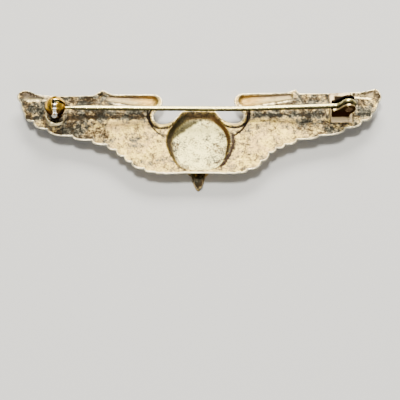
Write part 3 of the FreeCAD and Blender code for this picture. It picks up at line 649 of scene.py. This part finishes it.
def wing_front(sheet, base, outline, covert_outlines):
    """The feathered front of the wings, facing down."""
    y = (sheet.flat[:, 1] - DATUM_Y) / MM
    edge = sheet.edge_distance / MM
    stands = (BACK_Z - SHEET - base) / MM
    relief = np.zeros(len(y))
    for side, covert_outline in covert_outlines.items():
        x = side * sheet.flat[:, 0] / MM
        outline_cusps = cusps_of(outline, side, -1.0, 14.6)
        covert_cusps = cusps_of(covert_outline, side, 10.8, 16.0)
        found = side_relief(x, y, edge, stands, outline_cusps, covert_cusps)
        relief = np.where(x >= 0, found, relief)
    return base - relief * MM + rounding(sheet.edge_distance, 0.42 * MM)


def make_wings():
    outline = loops_at("wing_plate", BACK_Z - 0.5 * SHEET)[0]
    sheet = Sheet(outline, GRID)
    probe = sheet.flat.copy()
    probe[sheet.rim] += inward_normals(sheet.flat[sheet.rim]) * 0.05 * MM
    back_base = sheet.settled(heights("wing_plate", probe, True))
    hollow_highlights = 0.0
    for side in (1, -1):
        for hollow in HOLLOWS:
            # worn here is the painted highlight on each hollow's ribbon and lips.
            back_base, worn = shaped_hollow(sheet, back_base, side, *hollow)
            hollow_highlights = hollow_highlights + worn
    back_base, from_dish = shaped_dish(sheet, sheet.smoothed(back_base, 3))
    back, masks = wing_back(sheet, back_base, from_dish, hollow_highlights)

    front_base = sheet.smoothed(sheet.settled(heights("wing_plate", probe, False)), 4)
    spacing = 0.08 * MM
    covert_outlines = {}
    for loop in loops_at("wing_plate", BACK_Z - SHEET - 0.15 * MM):
        side = 1 if loop[:, 0].mean() > 0 else -1
        if np.abs(loop[:, 0]).max() > 20 * MM:
            covert_outlines.setdefault(side, refined(loop, spacing))
    front = wing_front(sheet, front_base, refined(outline, spacing), covert_outlines)

    vertices, faces = sheet.closed(back, front)
    piece = new_piece("wings_struck", vertices, faces, "badge", "wing_plate")
    # The front's edge and the side wall take the rim's worn colour and painted highlight.
    front_rim = 1 - smoothstep(0.05, 0.42, sheet.edge_distance / MM)
    wall_count = len(vertices) - 2 * len(sheet.flat)
    for name, values in masks.items():
        on_rim = name == "rim"
        front_values = front_rim if on_rim else np.zeros(len(values))
        wall_values = np.full(wall_count, 1.0 if on_rim else 0.0)
        set_attribute(piece, name, np.concatenate([values, front_values, wall_values]))
    return piece


# ---------------------------------------------------------------- solder

# The fillet's section: how far out of the patch and how high, as shares of its reach and height.
SOLDER_PROFILE = (
    (-0.25, -0.25),
    (-0.25, 0.92),
    (0.0, 1.0),
    (0.22, 0.86),
    (0.45, 0.55),
    (0.7, 0.25),
    (0.9, 0.07),
    (1.0, -0.12),
)


def round_path(centre, radius, count=160):
    """Points and outward directions round a circle."""
    angles = np.arange(count) * 2 * math.pi / count
    outward = np.stack([np.cos(angles), np.sin(angles)], axis=1)
    return np.array(centre) + outward * radius, outward


def box_path(low, high, corner=0.2 * MM, spacing=0.12 * MM):
    """Points and outward directions round a rectangle with rounded corners."""
    points = []
    outward = []
    corners = ((high.x, high.y), (low.x, high.y), (low.x, low.y), (high.x, low.y))
    for (x, y), start in zip(corners, (0, 90, 180, 270)):
        diagonal = math.radians(start + 45)
        middle = np.array([x, y]) - corner * np.sign([math.cos(diagonal), math.sin(diagonal)])
        for step in range(7):
            angle = math.radians(start + 15 * step)
            way = np.array([math.cos(angle), math.sin(angle)])
            points.append(middle + way * corner)
            outward.append(way)
    dense = []
    ways = []
    for index, point in enumerate(points):
        following = points[(index + 1) % len(points)]
        count = max(1, math.ceil(np.linalg.norm(following - point) / spacing))
        for step in range(count):
            dense.append(point + (following - point) * step / count)
            ways.append(outward[index])
    return np.array(dense), np.array(ways)


def make_solder(name, node, path, extra):
    """An uneven fillet of solder that runs round a patch and spreads onto the wings.

    extra is how much further it spreads at each point of the path, in mm.
    """
    points, outward = path
    uneven = layered_noise(points, 0.9 * MM, 5) - 0.5
    fine = layered_noise(points, 0.35 * MM, 9) - 0.5
    reach = (0.2 + 0.22 * uneven + 0.1 * fine + extra) * MM
    height = (0.27 + 0.1 * uneven + 0.12 * extra) * MM
    vertices = []
    for out, up in SOLDER_PROFILE:
        flat = points + outward * (reach * out)[:, None]
        level = BACK_Z + height * up
        vertices += [(x, y, z) for (x, y), z in zip(flat, level)]
    rings = np.arange(len(vertices)).reshape(len(SOLDER_PROFILE), len(points))
    faces = []
    for ring, below in zip(rings, np.roll(rings, -1, axis=0)):
        corners = (ring, below, np.roll(below, -1), np.roll(ring, -1))
        faces += np.stack(corners, axis=1).tolist()
    return new_piece(name, vertices, faces, "badge", node)


def make_solders():
    low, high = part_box("catch_patch")
    centre = ((low.x + high.x) / 2, (low.y + high.y) / 2)
    points, outward = round_path(centre, (high.x - low.x) / 2)
    angles = np.degrees(np.arctan2(outward[:, 1], outward[:, 0])) % 360
    spread = 0.55 * bump_of(angles - 238, 26) + 0.25 * bump_of(angles - 300, 22)
    round_bead = make_solder("catch_solder_bead", "catch_solder", (points, outward), spread)

    low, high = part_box("hinge_patch")
    points, outward = box_path(low, high)
    spread = 0.1 * value_noise(points, 1.6 * MM, 31)
    square_bead = make_solder("hinge_solder_bead", "hinge_solder", (points, outward), spread)
    return round_bead, square_bead


# ---------------------------------------------------------------- materials


class Graph:
    """A material's nodes, written in few words."""

    def __init__(self, name):
        self.material = bpy.data.materials.new(name)
        self.material.use_nodes = True
        self.tree = self.material.node_tree
        self.shader = self.tree.nodes["Principled BSDF"]
        coordinates = self.add("TexCoord").outputs
        self.place = coordinates["Object"]
        self.at = self.add("SeparateXYZ", {"Vector": self.place}).outputs
        self.facing = self.add("SeparateXYZ", {"Vector": coordinates["Normal"]}).outputs

    def add(self, kind, inputs=None, **settings):
        node = self.tree.nodes.new(f"ShaderNode{kind}")
        for name, value in settings.items():
            setattr(node, name, value)
        for name, value in (inputs or {}).items():
            self.feed(node.inputs[name], value)
        return node

    def feed(self, socket, value):
        if isinstance(value, bpy.types.NodeSocket):
            self.tree.links.new(value, socket)
        else:
            socket.default_value = value

    def noise(self, size, detail, roughness, shift):
        """Noise from 0 to 1 whose lumps are about this size, in metres."""
        location = (shift, shift * 0.7, 0)
        moved = self.add("Mapping", {"Vector": self.place, "Location": location})
        settings = {
            "Vector": moved.outputs["Vector"],
            "Scale": 1 / size,
            "Detail": detail,
            "Roughness": roughness,
        }
        return self.add("TexNoise", settings).outputs["Fac"]

    def attribute(self, name):
        return self.add("Attribute", attribute_name=name).outputs["Fac"]

    def maths(self, operation, first, second=0.0, third=None):
        node = self.add("Math", operation=operation)
        self.feed(node.inputs[0], first)
        self.feed(node.inputs[1], second)
        if third is not None:
            self.feed(node.inputs[2], third)
        return node.outputs[0]

    def range(self, value, low, high, to_low=0.0, to_high=1.0):
        """The value carried from one range to another, and held inside it."""
        inputs = {
            "Value": value,
            "From Min": low,
            "From Max": high,
            "To Min": to_low,
            "To Max": to_high,
        }
        node = self.add("MapRange", inputs, interpolation_type="SMOOTHSTEP")
        return node.outputs["Result"]

    def mix(self, share, first, second):
        node = self.add("Mix", data_type="RGBA", blend_type="MIX")
        self.feed(node.inputs["Factor"], share)
        for socket, value in ((node.inputs[6], first), (node.inputs[7], second)):
            if isinstance(value, tuple):
                value = (*value, 1.0)
            self.feed(socket, value)
        return node.outputs[2]

    def set(self, **values):
        for name, value in values.items():
            label = name.replace("_", " ").title()
            if isinstance(value, tuple):
                value = (*value, 1.0)
            self.feed(self.shader.inputs[label], value)

    def bump(self, height, distance, strength):
        node = self.add("Bump", {"Height": height, "Distance": distance, "Strength": strength})
        self.feed(self.shader.inputs["Normal"], node.outputs["Normal"])


WING_MASKS = ("rim", "crease", "dish", "wall", "hollow", "ribbon")
# Colours of the worn metal, in pairs that its tone runs between.
CLEAN_SILVER = ((0.76, 0.56, 0.145), (0.62, 0.42, 0.15))
STAINED_SILVER = ((0.68, 0.47, 0.24), (0.55, 0.51, 0.37))
DISH_SILVER = (0.78, 0.69, 0.29)
# Worn edges, brightened further as a painted highlight.
RIM_SILVER = (0.94, 0.86, 0.60)
# The share of the light that the thickest tarnish and painted shade leave.
BLACKEST = 0.033
# Direction from the dish's middle of the corner whose shadow is painted on its floor.
DISH_SHADOW_CORNER = (-0.62, 0.784)


def tarnish_and_stem_shadow(g):
    """0 where the silver is clean, 1 where it is tarnished, and more along one dark streak that is
    the pin stem's painted shadow.
    """
    left = g.maths("MULTIPLY", g.at["X"], -1.0)
    away = g.maths("ABSOLUTE", g.at["X"])
    datum_y = g.maths("SUBTRACT", g.at["Y"], DATUM_Y)
    uneven = g.maths("SUBTRACT", g.noise(3.4 * MM, 4, 0.62, 0.5), 0.5)

    left_place = g.maths("MULTIPLY_ADD", uneven, 12 * MM, left)
    left_tip = g.range(left_place, 17.5 * MM, 23.5 * MM)
    lighter = g.range(left, 29.0 * MM, 33.5 * MM, 0.92, 0.62)
    left_tip = g.maths("MULTIPLY", left_tip, lighter)
    right_place = g.maths("MULTIPLY_ADD", uneven, 14 * MM, g.at["X"])
    right_tip = g.range(right_place, 18.0 * MM, 25.0 * MM, 0.0, 0.70)

    # The band under the stem: tarnish with the stem's painted shadow.
    beyond_notches = g.range(away, 9.2 * MM, 11.2 * MM)
    band_place = g.maths("MULTIPLY_ADD", uneven, 3.4 * MM, datum_y)
    band = g.range(band_place, 12.6 * MM, 14.4 * MM, 0.0, 0.75)
    band = g.maths("MULTIPLY", band, beyond_notches)
    # The streak is the pin stem's painted shadow on the wings' back.
    streak_place = g.maths("MULTIPLY_ADD", uneven, 1.2 * MM, datum_y)
    off_streak = g.maths("ABSOLUTE", g.maths("SUBTRACT", streak_place, 13.85 * MM))
    streak = g.range(off_streak, 0.8 * MM, 0.1 * MM, 0.0, 0.75)
    streak = g.maths("MULTIPLY", streak, beyond_notches)
    worst = g.maths("MAXIMUM", g.maths("MAXIMUM", left_tip, right_tip), band)
    return g.maths("ADD", worst, streak)


def old_silver(name, masks=(), age=0.0, dark_back=0.0):
    """Struck silver: warm where it is worn, grey and brown in blotches and grain where it isn't.

    age adds tarnish all over and dark_back adds painted shade on upward faces, which lie under the
    wings.
    """
    g = Graph(name)
    mask = {key: g.attribute(key) if key in masks else 0.0 for key in WING_MASKS}
    blotch = g.noise(4.2 * MM, 4, 0.62, 0.03)
    mottle = g.noise(1.1 * MM, 6, 0.72, 0.11)
    speck = g.noise(0.34 * MM, 3, 0.65, 0.2)
    tone = g.noise(2.2 * MM, 4, 0.65, 0.37)

    tarnish_and_painted_light = g.maths("MULTIPLY_ADD", g.maths("SUBTRACT", blotch, 0.5), 1.15, age)
    spread = 1.55
    if masks:
        # tarnish holds the tarnish and the pin stem's painted shadow.
        tarnish = tarnish_and_stem_shadow(g)
        spread = g.maths("MULTIPLY_ADD", tarnish, 0.2, spread)
        tarnish_and_painted_light = g.maths("MULTIPLY_ADD", tarnish, 0.44, tarnish_and_painted_light)
    tarnish_and_painted_light = g.maths("MULTIPLY_ADD", g.maths("SUBTRACT", mottle, 0.5), spread, tarnish_and_painted_light)
    tarnish_and_painted_light = g.maths("MULTIPLY_ADD", g.maths("SUBTRACT", speck, 0.5), 1.5, tarnish_and_painted_light)
    # Painted shade on the upward faces.
    if dark_back:
        upwards = g.range(g.facing["Z"], 0.2, 0.8)
        tarnish_and_painted_light = g.maths("MULTIPLY_ADD", upwards, dark_back, tarnish_and_painted_light)
    # The rims lose tarnish and get a painted highlight; the creases gain painted shade and
    # tarnish.
    for key, more in (("rim", -0.8), ("dish", -0.04), ("crease", 0.5)):
        tarnish_and_painted_light = g.maths("MULTIPLY_ADD", mask[key], more, tarnish_and_painted_light)

    clean = g.mix(g.range(tone, 0.38, 0.62), *CLEAN_SILVER)
    clean = g.mix(mask["dish"], clean, DISH_SILVER)
    clean = g.mix(mask["rim"], clean, RIM_SILVER)
    stained = g.mix(g.range(tone, 0.42, 0.58), *STAINED_SILVER)
    colour = g.mix(g.range(tarnish_and_painted_light, 0.0, 0.3), clean, stained)
    # Tarnish and painted shade take the same share of the light with each step.
    darkening = g.range(tarnish_and_painted_light, -0.18, 0.76)
    colour = g.mix(g.maths("POWER", BLACKEST, darkening), (0.0, 0.0, 0.0), colour)
    if masks:
        colour = shaded_recesses(g, mask, mottle, colour)
    g.set(base_color=colour, metallic=1.0)

    rough = g.maths("MULTIPLY_ADD", darkening, 0.12, 0.33)
    rough = g.maths("MULTIPLY_ADD", speck, 0.16, rough)
    g.set(roughness=g.maths("MULTIPLY_ADD", mask["rim"], -0.12, rough))
    g.bump(g.maths("MULTIPLY_ADD", speck, 0.7, mottle), 0.1 * MM, 0.8)
    return g.material


def dish_wall_colour(g, up, across):
    """The dish's wall coloured by the way it faces, as painted shade with tarnish tints: warm at
    its upper right, black at its upper left.
    """
    high = g.mix(g.range(across, -0.55, -0.15), (0.30, 0.15, 0.05), (0.09, 0.055, 0.026))
    high = g.mix(g.range(across, -0.05, 0.4), high, (0.06, 0.052, 0.028))
    low = g.mix(g.range(across, -0.2, 0.2), (0.11, 0.065, 0.055), (0.14, 0.105, 0.06))
    return g.mix(g.range(up, -0.25, 0.05), high, low)


def dish_corner_shadow(g, uneven):
    """How much of the dish's floor gets the painted shadow of its upper left corner."""
    middle_y = (DISH_MIDDLE[1] + FLOOR_SHIFT[1]) * MM + DATUM_Y
    off_middle = g.maths("SUBTRACT", g.at["Y"], middle_y)
    towards = g.maths("MULTIPLY", g.at["X"], DISH_SHADOW_CORNER[0])
    towards = g.maths("MULTIPLY_ADD", off_middle, DISH_SHADOW_CORNER[1], towards)
    towards = g.maths("MULTIPLY_ADD", uneven, 1.6 * MM, towards)
    return g.range(towards, 3.9 * MM, 4.6 * MM, 0.0, 0.94)


def shaded_recesses(g, mask, mottle, colour):
    """Painted shade and tarnish in the dish, in the hollows and in the engraved lines, and painted
    highlights on the hollows' ribbons.
    """
    uneven = g.maths("MULTIPLY_ADD", mottle, 0.8, -0.4)
    up = g.maths("ADD", g.facing["Y"], uneven)
    across = g.maths("MULTIPLY_ADD", uneven, 0.5, g.facing["X"])
    # The dish's wall gets painted shade by the way it faces.
    on_wall = g.maths("MULTIPLY", mask["wall"], g.range(up, 0.4, 0.15))
    wall = dish_wall_colour(g, up, across)
    colour = g.mix(g.maths("MULTIPLY", on_wall, 0.92), colour, wall)
    # A painted shadow in the dish's upper left corner.
    in_corner_shadow = g.maths("MULTIPLY", mask["dish"], dish_corner_shadow(g, uneven))
    colour = g.mix(in_corner_shadow, colour, (0.022, 0.017, 0.010))

    # The arms' hollows are warmest at their inner ends, and the tips' are grey.
    away = g.maths("ABSOLUTE", g.at["X"])
    inside_arm = g.mix(
        g.range(away, 10.5 * MM, 16.5 * MM), (0.62, 0.38, 0.09), (0.40, 0.29, 0.14)
    )
    inside_tip = g.mix(
        g.range(g.at["X"], -30 * MM, 30 * MM), (0.075, 0.06, 0.04), (0.26, 0.20, 0.10)
    )
    within = g.mix(g.range(away, 28 * MM, 30 * MM), inside_arm, inside_tip)
    colour = g.mix(g.maths("MULTIPLY", mask["hollow"], 0.85), colour, within)

    # The ribbon's colour: a painted highlight along the lower slope of each hollow.
    worn = g.mix(g.range(away, 10 * MM, 15 * MM), (0.42, 0.27, 0.08), (0.52, 0.42, 0.20))
    ribbon_highlight_share = g.maths("MULTIPLY", mask["ribbon"], g.range(mottle, 0.3, 0.55, 0.55, 1.0))
    at_root = g.range(away, 9.5 * MM, 13.0 * MM, 0.35, 1.0)
    at_right_tip = g.range(g.at["X"], 28 * MM, 30 * MM, 1.0, 0.15)
    for share in (at_root, at_right_tip):
        ribbon_highlight_share = g.maths("MULTIPLY", ribbon_highlight_share, share)
    colour = g.mix(ribbon_highlight_share, colour, worn)

    shadow = g.mix(g.range(away, 10.0 * MM, 13.5 * MM), (0.40, 0.25, 0.08), (0.20, 0.145, 0.095))
    shade = g.maths("MULTIPLY", mask["hollow"], g.range(up, -0.15, -0.4))
    colour = g.mix(g.maths("MULTIPLY", shade, 0.9), colour, shadow)
    # The creases get a nearly black colour: painted shade and tarnish in the lines.
    engraved = g.range(mask["crease"], 0.75, 1.0, 0.0, 0.9)
    return g.mix(engraved, colour, (0.026, 0.016, 0.011))


# Direction that the shaded sides of the fittings face away from.
SHADE_LEAN = (0.8, 0.6)


def above_the_ears(g):
    """1 on the part of the hinge patch that lies in the dark above the bracket's ears."""
    low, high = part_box("hinge_patch")
    middle = (low.y + high.y) / 2
    inwards = g.range(g.at["X"], low.x + 0.7 * MM, low.x + 1.1 * MM)
    under_top = g.range(g.at["Y"], high.y - 0.5 * MM, high.y - 0.8 * MM)
    over_ears = g.range(g.at["Y"], middle - 1.8 * MM, middle - 1.4 * MM)
    return g.maths("MULTIPLY", inwards, g.maths("MULTIPLY", under_top, over_ears))


def far_ear(g):
    """1 on the bracket's ear that stands nearer the wings' top edge, painted nearly black as
    shade.
    """
    low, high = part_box("hinge_bracket")
    middle = (low.y + high.y) / 2
    return g.range(g.at["Y"], middle + 0.2 * MM, middle + 0.4 * MM)


def plain_metal(name, colours, roughness, under=None, lit_from=(0.0, 0.5), low=0.0, dark=None):
    """Metal with soft stains of a second colour and a faint uneven polish.

    under is a painted shade colour for the sides that face away from the wings' top, which fades
    out over lit_from, and a painted shadow on all that lies lower than low over the wings' back.
    dark gives the share of a nearly black colour.
    """
    g = Graph(name)
    blotch = g.noise(1.2 * MM, 4, 0.6, 0.07)
    fine = g.noise(0.3 * MM, 3, 0.6, 0.19)
    spread = g.maths("MULTIPLY_ADD", fine, 0.35, blotch)
    share = g.range(spread, 0.66, 0.92)
    shade = g.mix(share, *colours)
    if under:
        # Painted shade on the sides facing away from the wings' top, in the base colour and in the
        # reflections' tint.
        upwards = g.maths("MULTIPLY", g.facing["Y"], SHADE_LEAN[0])
        upwards = g.maths("MULTIPLY_ADD", g.facing["Z"], SHADE_LEAN[1], upwards)
        upwards = g.maths("MULTIPLY_ADD", g.maths("SUBTRACT", blotch, 0.5), 0.35, upwards)
        lit = g.range(upwards, *lit_from)
        # Painted shadow on all that lies low, under the ball.
        if low:
            high_up = g.range(g.at["Z"], BACK_Z + 0.6 * low, BACK_Z + low)
            lit = g.maths("MULTIPLY", lit, high_up)
        shade = g.mix(lit, under, shade)
        g.set(specular_tint=g.mix(lit, under, (1.0, 1.0, 1.0)))
    if dark:
        shade = g.mix(dark(g), shade, (0.014, 0.009, 0.005))
    g.set(base_color=shade, metallic=1.0)
    g.set(roughness=g.maths("MULTIPLY_ADD", share, 0.2, roughness))
    g.bump(fine, 0.01 * MM, 0.4)
    return g.material


def solder_metal():
    """The catch's solder, bright where it spread at the lower left and tarnished elsewhere."""
    g = Graph("solder")
    mottle = g.noise(0.8 * MM, 5, 0.7, 0.23)
    across = g.maths("SUBTRACT", g.at["X"], BALL.x)
    up = g.maths("SUBTRACT", g.at["Y"], BALL.y)
    away = g.maths("MULTIPLY_ADD", up, 1.2, across)
    away = g.maths("MULTIPLY_ADD", g.maths("SUBTRACT", mottle, 0.5), 6 * MM, away)
    dark = g.range(away, -2.6 * MM, 0.4 * MM)
    g.set(base_color=g.mix(dark, (0.84, 0.70, 0.38), (0.10, 0.083, 0.055)), metallic=1.0)
    g.set(roughness=0.32)
    g.bump(mottle, 0.08 * MM, 0.7)
    return g.material


def finish_node(node, material, bevel=0.0):
    """Gives a CAD node its material and, where asked, softened edges."""
    target = NODES[node]
    target.data.materials.clear()
    target.data.materials.append(material)
    if bevel:
        weld = target.modifiers.new("weld", "WELD")
        weld.merge_threshold = 0.002 * MM
        soften = target.modifiers.new("soft_edges", "BEVEL")
        soften.width = bevel
        soften.segments = 2
        soften.limit_method = "ANGLE"
        soften.angle_limit = math.radians(30)
        soften.harden_normals = False


wings = make_wings()
wings.data.materials.append(old_silver("wing_silver", WING_MASKS, 0.02))
round_bead, square_bead = make_solders()
round_bead.data.materials.append(solder_metal())

# Each metal's own colour and its stains' colour, then the painted shade colour of its darker
# sides.
dull_silver = ((0.60, 0.455, 0.25), (0.24, 0.175, 0.10))
dark_brass = ((0.74, 0.55, 0.25), (0.2, 0.13, 0.06))
brown_brass = ((0.10, 0.06, 0.03), (0.03, 0.02, 0.01))
bright_brass = ((1.0, 0.61, 0.07), (0.85, 0.44, 0.05))
wire = ((0.82, 0.70, 0.30), (0.78, 0.66, 0.30))
nickel = ((0.96, 0.94, 0.86), (0.55, 0.5, 0.42))
brown = (0.045, 0.026, 0.011)
olive = (0.075, 0.068, 0.030)
umber = (0.07, 0.036, 0.010)
nickel_shade = (0.20, 0.18, 0.15)

square_bead.data.materials.append(plain_metal("patch_silver", dull_silver, 0.42))
hinge_patch = plain_metal("hinge_patch_silver", dull_silver, 0.42, dark=above_the_ears)
# The bracket's sides facing away from the wings' top get brown painted shade, and its far ear
# nearly black painted shade.
bracket = plain_metal("hinge_brass", dark_brass, 0.3, brown, (0.2, 0.55), dark=far_ear)
# The ball's lower sides and its foot get umber painted shade.
ball = plain_metal("catch_brass", bright_brass, 0.27, umber, (-0.45, 0.15), 1.9 * MM)

# The shield's back, under the wings, gets painted shade.
finish_node("shield", old_silver("shield_silver", age=0.03, dark_back=0.4), 0.08 * MM)
finish_node("hinge_patch", hinge_patch)
finish_node("catch_patch", old_silver("catch_patch_silver", age=0.40))
finish_node("hinge_bracket", bracket, 0.06 * MM)
finish_node("hinge_rivet", plain_metal("rivet_brass", brown_brass, 0.3))
# The stem's underside gets olive painted shade.
finish_node("pin_stem", plain_metal("stem_nickel", wire, 0.27, olive, (-0.22, 0.14)))
finish_node("catch_housing", ball, 0.05 * MM)
# The rotor's sides get a grey painted shade.
rotor = plain_metal("rotor_nickel", nickel, 0.14, nickel_shade, (-0.9, -0.6))
finish_node("catch_rotor", rotor, 0.05 * MM)


# ---------------------------------------------------------------- floor, light and camera


def make_floor():
    mesh = bpy.data.meshes.new("studio_floor")
    half = 900 * MM
    corners = [(-half, -half, 0), (half, -half, 0), (half, half, 0), (-half, half, 0)]
    mesh.from_pydata(corners, [], [(0, 1, 2, 3)])
    floor = bpy.data.objects.new("studio_floor", mesh)
    bpy.context.scene.collection.objects.link(floor)
    g = Graph("floor_paper")
    g.set(base_color=(0.62, 0.62, 0.61), roughness=0.8)
    mesh.materials.append(g.material)


def make_world():
    """A dim room, lighter on the key light's side."""
    world = bpy.data.worlds.new("studio")
    bpy.context.scene.world = world
    world.use_nodes = True
    tree = world.node_tree
    direction = tree.nodes.new("ShaderNodeTexCoord").outputs["Generated"]
    axes = tree.nodes.new("ShaderNodeSeparateXYZ")
    tree.links.new(direction, axes.inputs["Vector"])
    spread = tree.nodes.new("ShaderNodeMapRange")
    spread.interpolation_type = "SMOOTHSTEP"
    limits = {"From Min": -0.5, "From Max": 0.8, "To Min": 0.08, "To Max": 0.42}
    for name, value in limits.items():
        spread.inputs[name].default_value = value
    tree.links.new(axes.outputs["Y"], spread.inputs["Value"])
    background = tree.nodes["Background"]
    background.inputs["Color"].default_value = (1.0, 0.97, 0.92, 1)
    tree.links.new(spread.outputs["Result"], background.inputs["Strength"])


def add_softbox(name, place, size, power, colour):
    """A rectangular light that points at the badge."""
    light = bpy.data.lights.new(name, "AREA")
    light.shape = "RECTANGLE"
    light.size, light.size_y = size
    light.energy = power
    light.color = colour
    lamp = bpy.data.objects.new(name, light)
    lamp.location = place
    lamp.rotation_euler = (-Vector(place)).to_track_quat("-Z", "Y").to_euler()
    bpy.context.scene.collection.objects.link(lamp)


def make_camera():
    """A level camera on the lower-edge side, about 57 degrees above the badge's back."""
    elevation = math.radians(57.5)
    turn = math.radians(0.7)
    tilt_down = math.radians(2.98664)
    distance = 235.295 * MM
    target = Vector((0, 8.1 * MM + DATUM_Y, BACK_Z))
    across = math.cos(elevation)
    back = Vector((-math.sin(turn) * across, -math.cos(turn) * across, math.sin(elevation)))
    camera = bpy.data.objects.new("camera", bpy.data.cameras.new("camera"))
    camera.location = target + back * distance
    camera.data.sensor_width = 36
    camera.data.lens = 103.5
    camera.data.clip_start = 10 * MM
    level = (-back).to_track_quat("-Z", "Y")
    camera.rotation_mode = "QUATERNION"
    camera.rotation_quaternion = level @ Matrix.Rotation(-tilt_down, 4, "X").to_quaternion()
    bpy.context.scene.collection.objects.link(camera)
    bpy.context.scene.camera = camera


make_floor()
make_world()
# Places and sizes in metres, powers in watts.
add_softbox("key", (0.06, 0.42, 0.35), (0.34, 0.2), 5.4, (1.0, 0.965, 0.89))
add_softbox("edge", (0.0, -0.42, 0.24), (0.5, 0.07), 1.0, (1.0, 0.98, 0.95))
add_softbox("overhead", (-0.04, 0.02, 0.6), (0.12, 0.12), 5.0, (1.0, 0.97, 0.90))
make_camera()
